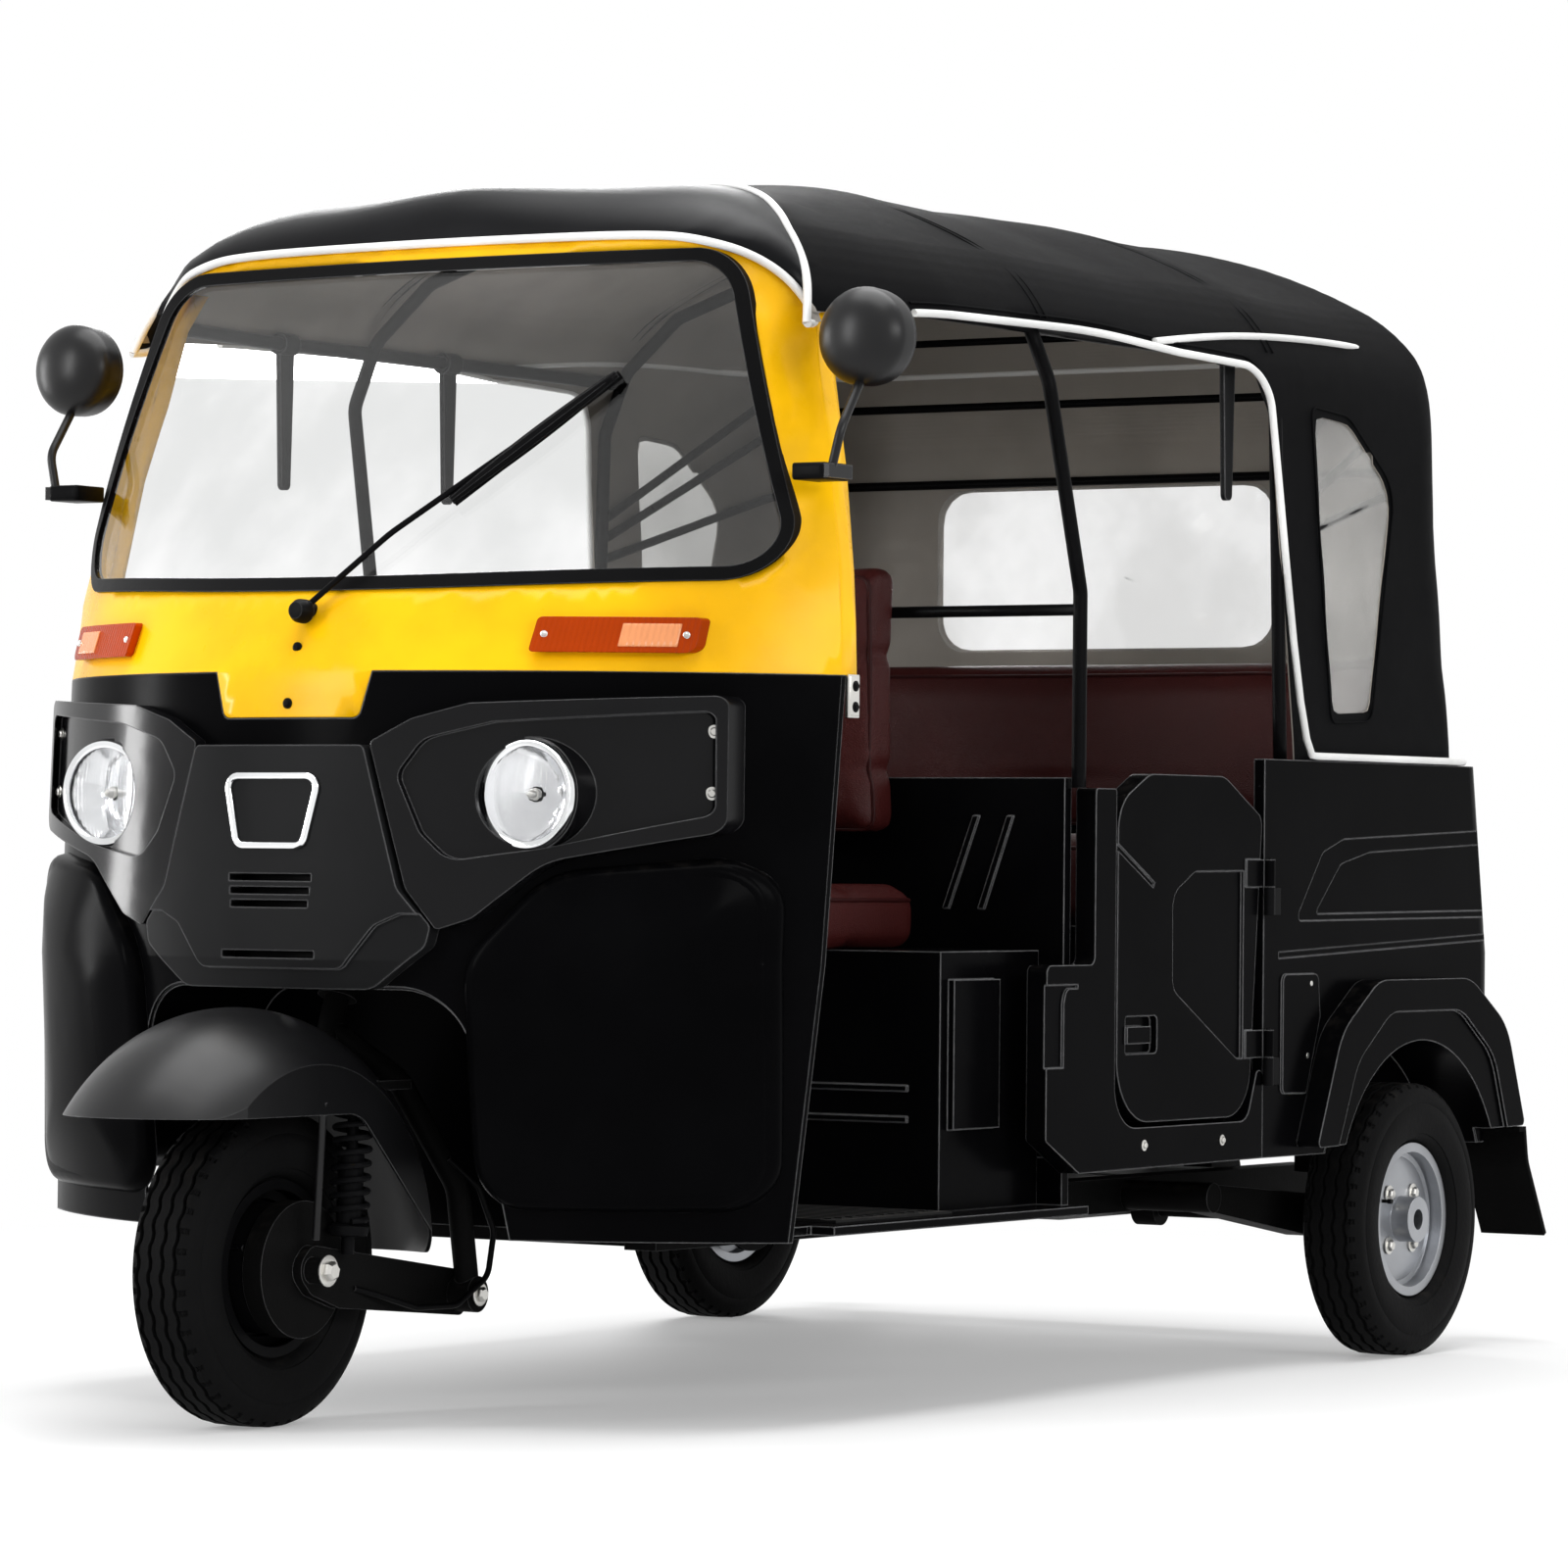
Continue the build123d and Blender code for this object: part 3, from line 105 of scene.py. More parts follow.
@dataclass(frozen=True)
class Finish:
    """One finish: its colour, its gloss and the grain that breaks it up.

    Its name is its own. Under a packed material's name, Blender would give back that plain material instead.
    """

    name: str
    slot: str
    colour: Colour
    roughness: float
    grain: Grain
    depth: float = 0.15
    metallic: float = 0.0
    specular: float = 0.5
    coat: float = 0.0
    coat_roughness: float = 0.08
    ior: float = 1.5
    edge: float = 0.0
    # Strength of the painted highlight: a light grey painted along sharp edges.
    painted_edge_highlight: float = 0.0
    clear: float = 0.0
    sheen: float = 0.0
    dust: float = 0.0

    def material(self) -> bpy.types.Material:
        """Build the node material, or give back the one built before.

        Returns:
            The procedural material of this finish.
        """
        known = bpy.data.materials.get(self.name)
        if known:
            return known
        made = bpy.data.materials.new(self.name)
        made.use_nodes = True
        made.diffuse_color = (*self.colour, 1.0)
        tree = made.node_tree
        shader = tree.nodes["Principled BSDF"]
        fixed = {
            "Metallic": self.metallic,
            "Specular IOR Level": self.specular,
            "IOR": self.ior,
            "Coat Weight": self.coat,
            "Coat Roughness": self.coat_roughness,
            "Transmission Weight": self.clear,
            "Sheen Weight": self.sheen,
        }
        for socket, value in fixed.items():
            shader.inputs[socket].default_value = value
        place = tree.nodes.new("ShaderNodeTexCoord").outputs["Object"]
        cloud = noise(tree, place, 3.5, 4.0)
        fine = noise(tree, place, 45.0, 6.0)
        self.tint(tree, shader, cloud, fine)
        self.gloss(tree, shader, cloud, fine)
        self.relief(tree, shader, place)
        if self.clear:
            let_light_through(tree, shader, self.colour)
        return made

    def tint(self, tree: Tree, shader: Node, cloud: Socket,
             fine: Socket) -> None:
        """Vary the colour softly over the piece, lay dust on what faces up and paint a light grey highlight along sharp
        edges.

        Args:
            tree: The material's nodes.
            shader: The surface shader.
            cloud: Broad noise, 0 to 1.
            fine: Fine noise, 0 to 1.
        """
        dark = tuple(0.82 * c for c in self.colour)
        light = tuple(min(1.0, 1.12 * c + 0.0004) for c in self.colour)
        colour = mix_colour(tree, ramp(tree, cloud, 0.35, 0.68), dark, light)
        if self.dust:
            normal = tree.nodes.new("ShaderNodeNewGeometry").outputs["Normal"]
            split = tree.nodes.new("ShaderNodeSeparateXYZ")
            tree.links.new(normal, split.inputs[0])
            upward = ramp(tree, split.outputs["Z"], 0.2, 1.0)
            patchy = calculate(tree, "MULTIPLY", ramp(tree, fine, 0.45, 0.75), upward)
            amount = calculate(tree, "MULTIPLY", patchy, self.dust)
            colour = mix_colour(tree, amount, colour, (0.16, 0.14, 0.12))
        # Painted highlight: sharp edges are painted a light grey, standing in for light caught on rounded edges.
        if self.painted_edge_highlight:
            highlit_edge = calculate(tree, "MULTIPLY", edge_mask(tree, self.edge), self.painted_edge_highlight)
            amount = calculate(tree, "MULTIPLY", highlit_edge, calculate(tree, "MULTIPLY_ADD", fine, 0.8, 0.4))
            colour = mix_colour(tree, amount, colour, (0.38, 0.38, 0.39))
        tree.links.new(colour, shader.inputs["Base Color"])

    def gloss(self, tree: Tree, shader: Node, cloud: Socket,
              fine: Socket) -> None:
        """Vary the roughness a little, as handling and polish do.

        Args:
            tree: The material's nodes.
            shader: The surface shader.
            cloud: Broad noise, 0 to 1.
            fine: Fine noise, 0 to 1.
        """
        if self.grain is Grain.CLEAR:
            shader.inputs["Roughness"].default_value = self.roughness
            return
        both = calculate(tree, "ADD", calculate(tree, "MULTIPLY", cloud, 0.6), calculate(tree, "MULTIPLY", fine, 0.4))
        spread = 0.25 * self.roughness
        rough = calculate(tree, "MULTIPLY_ADD", both, 2 * spread, self.roughness - spread)
        tree.links.new(rough, shader.inputs["Roughness"])

    def relief(self, tree: Tree, shader: Node, place: Socket) -> None:
        """Break the surface up with the grain's own pattern.

        Args:
            tree: The material's nodes.
            shader: The surface shader.
            place: Object coordinates.
        """
        if self.grain is Grain.CLEAR:
            return
        height, distance = GRAIN_PATTERNS[self.grain](tree, place)
        bump = tree.nodes.new("ShaderNodeBump")
        bump.inputs["Strength"].default_value = self.depth
        bump.inputs["Distance"].default_value = distance
        tree.links.new(height, bump.inputs["Height"])
        if self.edge:
            rounding = tree.nodes.new("ShaderNodeBevel")
            rounding.samples = 4
            rounding.inputs["Radius"].default_value = self.edge
            tree.links.new(rounding.outputs["Normal"], bump.inputs["Normal"])
        tree.links.new(bump.outputs["Normal"], shader.inputs["Normal"])


def edge_mask(tree: Tree, radius: float) -> Socket:
    """1 along sharp edges and 0 on flat or gently curved faces; it places the painted edge highlight.

    Args:
        tree: The material's nodes.
        radius: How far from an edge the mask reaches, in metres.

    Returns:
        The mask's socket.
    """
    rounding = tree.nodes.new("ShaderNodeBevel")
    rounding.samples = 4
    rounding.inputs["Radius"].default_value = radius
    match = tree.nodes.new("ShaderNodeVectorMath")
    match.operation = "DOT_PRODUCT"
    tree.links.new(rounding.outputs["Normal"], match.inputs[0])
    tree.links.new(tree.nodes.new("ShaderNodeNewGeometry").outputs["Normal"], match.inputs[1])
    return ramp(tree, calculate(tree, "SUBTRACT", 1.0, match.outputs["Value"]), 0.03, 0.22)


def noise(tree: Tree, place: Socket, scale: float, detail: float) -> Socket:
    """Noise between 0 and 1.

    Args:
        tree: The material's nodes.
        place: Where the pattern is read.
        scale: Features per metre.
        detail: Octaves.

    Returns:
        The noise value's socket.
    """
    node = tree.nodes.new("ShaderNodeTexNoise")
    node.inputs["Scale"].default_value = scale
    node.inputs["Detail"].default_value = detail
    tree.links.new(place, node.inputs["Vector"])
    return node.outputs["Fac"]


def ramp(tree: Tree, value: Socket, low: float, high: float) -> Socket:
    """Smooth step of a value.

    Args:
        tree: The material's nodes.
        value: Value to step.
        low: Where the step starts.
        high: Where it ends.

    Returns:
        The step, 0 to 1.
    """
    node = tree.nodes.new("ShaderNodeMapRange")
    node.interpolation_type = "SMOOTHSTEP"
    node.inputs["From Min"].default_value = low
    node.inputs["From Max"].default_value = high
    tree.links.new(value, node.inputs["Value"])
    return node.outputs["Result"]


def calculate(tree: Tree, operation: str, *values: Socket | float) -> Socket:
    """Math node on sockets or plain numbers.

    Args:
        tree: The material's nodes.
        operation: The node's operation.
        values: Its inputs in order.

    Returns:
        The result's socket.
    """
    node = tree.nodes.new("ShaderNodeMath")
    node.operation = operation
    for entry, value in zip(node.inputs, values):
        if isinstance(value, (int, float)):
            entry.default_value = value
        else:
            tree.links.new(value, entry)
    return node.outputs[0]


def mix_colour(tree: Tree, amount: Socket, first: Socket | Colour,
               second: Socket | Colour) -> Socket:
    """Mix of two colours, each a socket or three numbers.

    Args:
        tree: The material's nodes.
        amount: 0 for the first, 1 for the second.
        first: The colour at 0.
        second: The colour at 1.

    Returns:
        The mixed colour's socket.
    """
    node = tree.nodes.new("ShaderNodeMix")
    node.data_type = "RGBA"
    tree.links.new(amount, node.inputs["Factor"])
    for entry, colour in ((node.inputs[6], first), (node.inputs[7], second)):
        if isinstance(colour, tuple):
            entry.default_value = (*colour, 1.0)
        else:
            tree.links.new(colour, entry)
    return node.outputs[2]


def let_light_through(tree: Tree, shader: Node, colour: Colour) -> None:
    """Let lamp light pass a clear piece, so that it casts only a faint shadow.

    Args:
        tree: The material's nodes.
        shader: The surface shader.
        colour: The tint of what passes.
    """
    passing = tree.nodes.new("ShaderNodeBsdfTransparent")
    passing.inputs["Color"].default_value = (*colour, 1.0)
    path = tree.nodes.new("ShaderNodeLightPath")
    switch = tree.nodes.new("ShaderNodeMixShader")
    tree.links.new(path.outputs["Is Shadow Ray"], switch.inputs[0])
    tree.links.new(shader.outputs[0], switch.inputs[1])
    tree.links.new(passing.outputs[0], switch.inputs[2])
    tree.links.new(switch.outputs[0], tree.nodes["Material Output"].inputs["Surface"])


Pattern = tuple[Socket, float]


def weave(tree: Tree, place: Socket) -> Pattern:
    """Two crossed sets of threads under a coat, with a slow ripple.

    Args:
        tree: The material's nodes.
        place: Coordinates on the piece.

    Returns:
        The pattern's value and the height of its relief in metres.
    """
    threads = []
    for direction in ("X", "Z"):
        wave = tree.nodes.new("ShaderNodeTexWave")
        wave.bands_direction = direction
        wave.inputs["Scale"].default_value = 260.0
        wave.inputs["Distortion"].default_value = 0.6
        tree.links.new(place, wave.inputs["Vector"])
        threads.append(wave.outputs["Fac"])
    crossed = calculate(tree, "MAXIMUM", *threads)
    ripple = calculate(tree, "MULTIPLY", noise(tree, place, 9.0, 3.0), 5.0)
    return calculate(tree, "ADD", crossed, ripple), 0.0007


def pebbles(tree: Tree, place: Socket) -> Pattern:
    """Cells of embossed vinyl with soft creases between them.

    Args:
        tree: The material's nodes.
        place: Coordinates on the piece.

    Returns:
        The pattern's value and the height of its relief in metres.
    """
    cells = tree.nodes.new("ShaderNodeTexVoronoi")
    cells.feature = "DISTANCE_TO_EDGE"
    cells.inputs["Scale"].default_value = 330.0
    tree.links.new(place, cells.inputs["Vector"])
    folds = calculate(tree, "MULTIPLY", noise(tree, place, 14.0, 4.0), 1.4)
    return calculate(tree, "ADD", ramp(tree, cells.outputs["Distance"], 0.0, 0.35), folds), 0.0009


def flutes(tree: Tree, place: Socket) -> Pattern:
    """Upright ribs across a lens.

    Args:
        tree: The material's nodes.
        place: Coordinates on the piece.

    Returns:
        The pattern's value and the height of its relief in metres.
    """
    wave = tree.nodes.new("ShaderNodeTexWave")
    wave.bands_direction = "Y"
    wave.inputs["Scale"].default_value = 48.0
    tree.links.new(place, wave.inputs["Vector"])
    return wave.outputs["Fac"], 0.0015


def plain_noise(scale: float, detail: float, distance: float) -> Callable[..., Pattern]:
    """Pattern maker for a grain that is only noise.

    Args:
        scale: Features per metre.
        detail: Octaves.
        distance: Height of the relief in metres.

    Returns:
        A function from nodes and coordinates to a pattern.
    """
    def pattern(tree: Tree, place: Socket) -> Pattern:
        """Noise at the chosen scale."""
        return noise(tree, place, scale, detail), distance

    return pattern


GRAIN_PATTERNS: dict[Grain, Callable[..., Pattern]] = {
    Grain.PAINT: plain_noise(22.0, 2.0, 0.002),
    Grain.MOULDED: plain_noise(420.0, 3.0, 0.0005),
    Grain.COATED_CLOTH: weave,
    Grain.LEATHERETTE: pebbles,
    Grain.RUBBER: plain_noise(160.0, 5.0, 0.0012),
    Grain.CAST: plain_noise(240.0, 6.0, 0.001),
    Grain.STEEL: plain_noise(90.0, 8.0, 0.0004),
    Grain.FLUTED: flutes,
}

# In these finishes the edge-highlight strength paints a light grey along sharp edges, a painted highlight.
BODY_BLACK = Finish("body_black", "black_paint", (0.0016, 0.0016, 0.0019), 0.22, Grain.PAINT, 0.05, ior=1.06,
                    edge=0.0035, dust=0.03, painted_edge_highlight=0.8)
YELLOW = Finish("taxi_yellow", "yellow_paint", (0.93, 0.485, 0.002), 0.28, Grain.PAINT, 0.04, ior=1.25, edge=0.003)
PANEL_PLASTIC = Finish("panel_plastic", "black_plastic", (0.0078, 0.0080, 0.0085), 0.40, Grain.MOULDED, 0.12,
                       ior=1.14, edge=0.004, painted_edge_highlight=0.5)
GLOSS_PLASTIC = Finish("gloss_plastic", "gloss_black_plastic", (0.0035, 0.0035, 0.0040), 0.14, Grain.PAINT, 0.03,
                       ior=1.24, edge=0.003, painted_edge_highlight=0.4)
MUDGUARD_PLASTIC = Finish("mudguard_plastic", "gloss_black_plastic", (0.004, 0.004, 0.0045), 0.34, Grain.PAINT, 0.05,
                          ior=1.34, edge=0.002, painted_edge_highlight=0.4)
SEAL_RUBBER = Finish("seal_rubber", "black_rubber", (0.0020, 0.0020, 0.0023), 0.42, Grain.RUBBER, 0.2, ior=1.14,
                     edge=0.002, painted_edge_highlight=0.4)
FLAP_RUBBER = Finish("flap_rubber", "black_rubber", (0.005, 0.005, 0.005), 0.6, Grain.RUBBER, 0.3, ior=1.05,
                     dust=0.15)
TYRE_RUBBER = Finish("tread_rubber", "tyre_rubber", (0.0055, 0.0055, 0.0057), 0.6, Grain.RUBBER, 0.5, ior=1.1,
                     dust=0.08)
WINDSCREEN = Finish("windscreen", "clear_glass", (0.97, 0.98, 0.975), 0.0, Grain.CLEAR, specular=0.0, coat=0.7,
                    coat_roughness=0.02, ior=1.01, clear=1.0)
LAMP_COVER = Finish("lamp_cover", "lamp_glass", (0.98, 0.98, 0.98), 0.02, Grain.FLUTED, 0.18, coat=0.25, ior=1.16,
                    clear=1.0)
AMBER = Finish("amber_lens", "orange_lens", (0.37, 0.038, 0.0006), 0.14, Grain.FLUTED, 0.5, ior=1.16, edge=0.002)
PALE_AMBER = Finish("pale_amber_lens", "orange_lens", (0.78, 0.30, 0.12), 0.10, Grain.FLUTED, 0.6, ior=1.35,
                    edge=0.002)
RED_LENS = Finish("tail_lens", "red_lens", (0.42, 0.008, 0.006), 0.14, Grain.FLUTED, 0.5, ior=1.4, edge=0.002)
HOOD_CLOTH = Finish("hood_cloth", "canvas", (0.0032, 0.0033, 0.0037), 0.52, Grain.COATED_CLOTH, 0.35, ior=1.07,
                    sheen=0.0, dust=0.02)
HOOD_LINING = Finish("hood_lining", "canvas", (0.30, 0.275, 0.245), 0.6, Grain.COATED_CLOTH, 0.3, ior=1.35)
BROW_VINYL = Finish("brow_vinyl", "gloss_black_plastic", (0.0060, 0.0062, 0.0070), 0.34, Grain.COATED_CLOTH, 0.10,
                    ior=1.17)
CLEAR_VINYL = Finish("quarter_vinyl", "clear_vinyl", (0.75, 0.745, 0.73), 0.22, Grain.CLEAR, ior=1.08, coat=0.3,
                     clear=0.8)
REAR_VINYL = Finish("rear_vinyl", "clear_vinyl", (0.95, 0.95, 0.945), 0.10, Grain.CLEAR, ior=1.06, coat=0.2,
                    clear=0.92)
PIPING = Finish("white_piping", "canvas", (0.84, 0.84, 0.83), 0.42, Grain.COATED_CLOTH, 0.2)
SEAT_VINYL = Finish("seat_vinyl", "maroon_vinyl", (0.044, 0.0075, 0.0070), 0.38, Grain.LEATHERETTE, 0.35, ior=1.22)
SEAT_PIPING = Finish("seat_piping", "maroon_vinyl", (0.026, 0.005, 0.005), 0.35, Grain.LEATHERETTE, 0.2, ior=1.22)
BLACK_STEEL = Finish("satin_steel", "black_steel", (0.0040, 0.0040, 0.0044), 0.34, Grain.STEEL, 0.2, ior=1.1,
                     edge=0.0015, painted_edge_highlight=0.0)
CHASSIS = Finish("chassis_black", "chassis_steel", (0.0050, 0.0050, 0.0050), 0.5, Grain.CAST, 0.35, ior=1.08,
                 edge=0.0015, dust=0.1, painted_edge_highlight=0.4)
SILVER_WHEEL = Finish("wheel_silver", "silver_wheel", (0.36, 0.37, 0.39), 0.34, Grain.PAINT, 0.08, metallic=0.95,
                      edge=0.0015, dust=0.1)
ZINC = Finish("zinc_plate", "cast_metal", (0.62, 0.61, 0.58), 0.30, Grain.STEEL, 0.3, metallic=1.0)
CHROME = Finish("chrome", "cast_metal", (0.82, 0.83, 0.84), 0.08, Grain.STEEL, 0.05, metallic=1.0)
ENGINE_ALLOY = Finish("engine_alloy", "cast_metal", (0.22, 0.22, 0.22), 0.52, Grain.CAST, 0.6, metallic=0.7, dust=0.3)
REFLECTOR = Finish("lamp_reflector", "cast_metal", (0.84, 0.85, 0.87), 0.16, Grain.STEEL, 0.1, metallic=0.8)
MIRROR_GLASS = Finish("mirror_glass", "lamp_glass", (0.85, 0.87, 0.88), 0.02, Grain.STEEL, 0.0, metallic=1.0)
FLOOR_MAT = Finish("floor_mat", "black_rubber", (0.008, 0.008, 0.008), 0.65, Grain.RUBBER, 0.4, ior=1.3, dust=0.2)

NODE_FINISHES: dict[str, Finish] = {
    "windscreen_surround": YELLOW, "windscreen_gasket": SEAL_RUBBER, "windscreen_glass": WINDSCREEN,
    "front_cowl": BODY_BLACK, "front_wheel_arch": BODY_BLACK, "nose_panel": PANEL_PLASTIC,
    "headlamp_bezels": GLOSS_PLASTIC, "headlamps": LAMP_COVER, "turn_indicators": AMBER,
    "mirrors": MUDGUARD_PLASTIC, "wiper": BLACK_STEEL, "floor_pan": BODY_BLACK, "chassis_frame": CHASSIS,
    "steering_head": CHASSIS, "dashboard": PANEL_PLASTIC, "partition": BODY_BLACK, "driver_seat_box": BODY_BLACK,
    "driver_cushion": SEAT_VINYL, "driver_backrest": SEAT_VINYL, "side_panels": BODY_BLACK, "door_left": BODY_BLACK,
    "door_right": BODY_BLACK, "door_hinges": BLACK_STEEL, "rear_body": BODY_BLACK, "rear_lid": BODY_BLACK,
    "rear_fenders": BODY_BLACK, "mudflaps": FLAP_RUBBER, "tail_lamps": RED_LENS, "bench_base": BODY_BLACK,
    "passenger_cushion": SEAT_VINYL, "passenger_backrest": SEAT_VINYL, "roof_brow": BROW_VINYL, "canopy": HOOD_CLOTH,
    "hood_windows": CLEAR_VINYL, "hood_frame": BLACK_STEEL, "grab_straps": PANEL_PLASTIC, "engine": ENGINE_ALLOY,
    "silencer": CHASSIS, "trailing_arms": CHASSIS, "rear_shocks": CHASSIS, "drive_shafts": CHASSIS,
    "front_tyre": TYRE_RUBBER, "rear_tyre_left": TYRE_RUBBER, "rear_tyre_right": TYRE_RUBBER,
    "front_rim": BLACK_STEEL, "rear_rim_left": SILVER_WHEEL, "rear_rim_right": SILVER_WHEEL,
    "steering_fork": CHASSIS, "front_link": CHASSIS, "front_mudguard": MUDGUARD_PLASTIC, "front_shock": CHASSIS,
    "handlebar": PANEL_PLASTIC, "brake_hose": SEAL_RUBBER,
}


# ---- modelling by operator
class Primitive(Enum):
    """Forms that a piece may start from."""

    BOX = "cube"
    CYLINDER = "cylinder"
    DISC = "circle"
    GRID = "grid"


def rest_hands() -> None:
    """Go back to object mode with nothing selected."""
    if bpy.context.object and bpy.context.object.mode != "OBJECT":
        bpy.ops.object.mode_set(mode="OBJECT")
    bpy.ops.object.select_all(action="DESELECT")


class Shaper:
    """One piece being modelled: a primitive, then edit-mode operators on faces picked by place."""

    def __init__(self, name: str, start: Primitive, centre: Vector, size: Point, turn: Point = (0.0, 0.0, 0.0),
                 **detail: float) -> None:
        """Add the primitive at its size and place.

        Args:
            name: Name of the piece.
            start: Primitive it starts from.
            centre: Its middle, in the row frame.
            size: Its whole size along X, Y and Z before it is turned, in metres.
            turn: Angles about X, Y and Z in radians.
            detail: Further settings of the primitive's operator, such as vertices.
        """
        rest_hands()
        unit = {"size": 1.0} if start in (Primitive.BOX, Primitive.GRID) else {"radius": 0.5}
        if start is Primitive.CYLINDER:
            unit["depth"] = 1.0
        getattr(bpy.ops.mesh, f"primitive_{start.value}_add")(**unit, **detail)
        self.piece = bpy.context.object
        self.piece.name = name
        self.piece.data.name = name
        self.piece.matrix_world = Matrix.Translation(centre) @ _turned(turn) @ Matrix.Diagonal((*size, 1.0))
        bpy.ops.object.transform_apply(location=True, rotation=True, scale=True)

    def pick(self, test: Test | None = None) -> "Shaper":
        """Select the faces whose centre and normal pass a test, or all of them.

        Args:
            test: Function of a face's centre and normal.

        Returns:
            This shaper, in edit mode with those faces selected.
        """
        if self.piece.mode != "EDIT":
            bpy.context.view_layer.objects.active = self.piece
            bpy.ops.object.mode_set(mode="EDIT")
        bpy.ops.mesh.select_mode(type="FACE")
        bpy.ops.mesh.select_all(action="DESELECT")
        form = bmesh.from_edit_mesh(self.piece.data)
        form.normal_update()
        for face in form.faces:
            face.select_set(test is None or test(face.calc_center_median(), face.normal))
        bmesh.update_edit_mesh(self.piece.data)
        return self

    def inset(self, thickness: float, depth: float = 0.0) -> "Shaper":
        """Inset the picked faces and sink or raise them; returns this shaper."""
        bpy.ops.mesh.inset(thickness=thickness, depth=depth, use_even_offset=True)
        return self

    def extrude(self, move: Sequence[float]) -> "Shaper":
        """Extrude the picked faces by a vector; returns this shaper."""
        bpy.ops.mesh.extrude_region_move(TRANSFORM_OT_translate={"value": tuple(move)})
        return self

    def bevel(self, width: float, segments: int = 2) -> "Shaper":
        """Round the edges sharper than 30 degrees with an applied modifier; returns this shaper."""
        return self.modifier("BEVEL", width=width, segments=segments, limit_method="ANGLE", angle_limit=0.52)

    def modifier(self, kind: str, **settings: object) -> "Shaper":
        """Add a modifier with its settings and apply it; returns this shaper."""
        apply_modifier(self.piece, kind, **settings)
        return self

    def finish(self, finish: Finish, body: str, flat: bool = False) -> Piece:
        """Dress the piece and let it ride on its body.

        Args:
            finish: Finish of the whole piece.
            body: Body it rides on.
            flat: Keep every face flat.

        Returns:
            The finished piece.
        """
        return settle(self.piece, finish, body, flat)


def _turned(turn: Point) -> Matrix:
    """Rotation about X, then Y, then Z."""
    return (Matrix.Rotation(turn[2], 4, "Z") @ Matrix.Rotation(turn[1], 4, "Y") @ Matrix.Rotation(turn[0], 4, "X"))


def apply_modifier(piece: Piece, kind: str, **settings: object) -> None:
    """Add a modifier and apply it.

    Args:
        piece: The piece it is for.
        kind: Modifier type.
        settings: Its settings by name.
    """
    rest_hands()
    piece.select_set(True)
    bpy.context.view_layer.objects.active = piece
    modifier = piece.modifiers.new(kind.lower(), kind)
    for setting, value in settings.items():
        setattr(modifier, setting, value)
    bpy.ops.object.modifier_apply(modifier=modifier.name)


def settle(piece: Piece, finish: Finish, body: str, flat: bool = False) -> Piece:
    """Give a piece its finish, its shading and its body.

    Args:
        piece: The new piece, already in place.
        finish: Its finish.
        body: Body it rides on.
        flat: Keep every face flat.

    Returns:
        The piece.
    """
    rest_hands()
    piece.data.materials.clear()
    piece.data.materials.append(finish.material())
    if not flat:
        piece.select_set(True)
        bpy.context.view_layer.objects.active = piece
        bpy.ops.object.shade_smooth_by_angle(angle=math.radians(38))
        piece.select_set(False)
    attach(piece, body)
    LOG.info("%s on %s, %d faces", piece.name, body, len(piece.data.polygons))
    return piece


def join(pieces: Sequence[Piece], name: str) -> Piece:
    """Join pieces into the first one and name it.

    Args:
        pieces: Pieces to join, all at the origin.
        name: Name of the joined piece.

    Returns:
        The joined piece.
    """
    rest_hands()
    for piece in pieces:
        piece.select_set(True)
    bpy.context.view_layer.objects.active = pieces[0]
    bpy.ops.object.join()
    pieces[0].name = name
    pieces[0].data.name = name
    return pieces[0]


def face_out(piece: Piece, centre: Vector) -> None:
    """Turn an open sheet's faces away from a point inside it.

    Args:
        piece: The sheet.
        centre: The point.
    """
    outward = sum((f.center - centre).dot(f.normal) * f.area for f in piece.data.polygons)
    if outward < 0:
        piece.data.flip_normals()


def line_inside(piece: Piece, finish: Finish) -> None:
    """Give a solidified sheet's second material, on its inner faces, a finish of its own.

    Args:
        piece: The settled sheet, whose inner faces had material index 1.
        finish: The inner faces' finish.
    """
    piece.data.materials.append(finish.material())
    inner = np.array(piece["inner_faces"], dtype=np.int32)
    piece.data.polygons.foreach_set("material_index", inner)
    del piece["inner_faces"]


def thicken(piece: Piece, thickness: float) -> None:
    """Give a sheet its wall inwards and remember which faces line it.

    Args:
        piece: The sheet.
        thickness: Its wall in metres.
    """
    piece.data.materials.append(None)
    piece.data.materials.append(None)
    apply_modifier(piece, "SOLIDIFY", thickness=thickness, offset=-1.0, use_even_offset=False, material_offset=1,
                   material_offset_rim=1)
    inner = np.zeros(len(piece.data.polygons), dtype=np.int32)
    piece.data.polygons.foreach_get("material_index", inner)
    piece["inner_faces"] = inner.tolist()


def refined_copy(node: Piece, name: str) -> tuple[Piece, Form]:
    """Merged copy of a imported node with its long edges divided, ready to be reshaped.

    Args:
        node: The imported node.
        name: Name of the copy.

    Returns:
        The new object and its open mesh, which the caller writes back and frees.
    """
    piece = bpy.data.objects.new(name, node.data.copy())
    bpy.context.scene.collection.objects.link(piece)
    form = bmesh.new()
    form.from_mesh(piece.data)
    bmesh.ops.remove_doubles(form, verts=form.verts, dist=1e-6)
    for longest in (0.12, 0.06, 0.035):
        long_edges = [e for e in form.edges if e.calc_length() > longest]
        bmesh.ops.subdivide_edges(form, edges=long_edges, cuts=1)
        bmesh.ops.triangulate(form, faces=[f for f in form.faces if len(f.verts) > 3])
    return piece, form


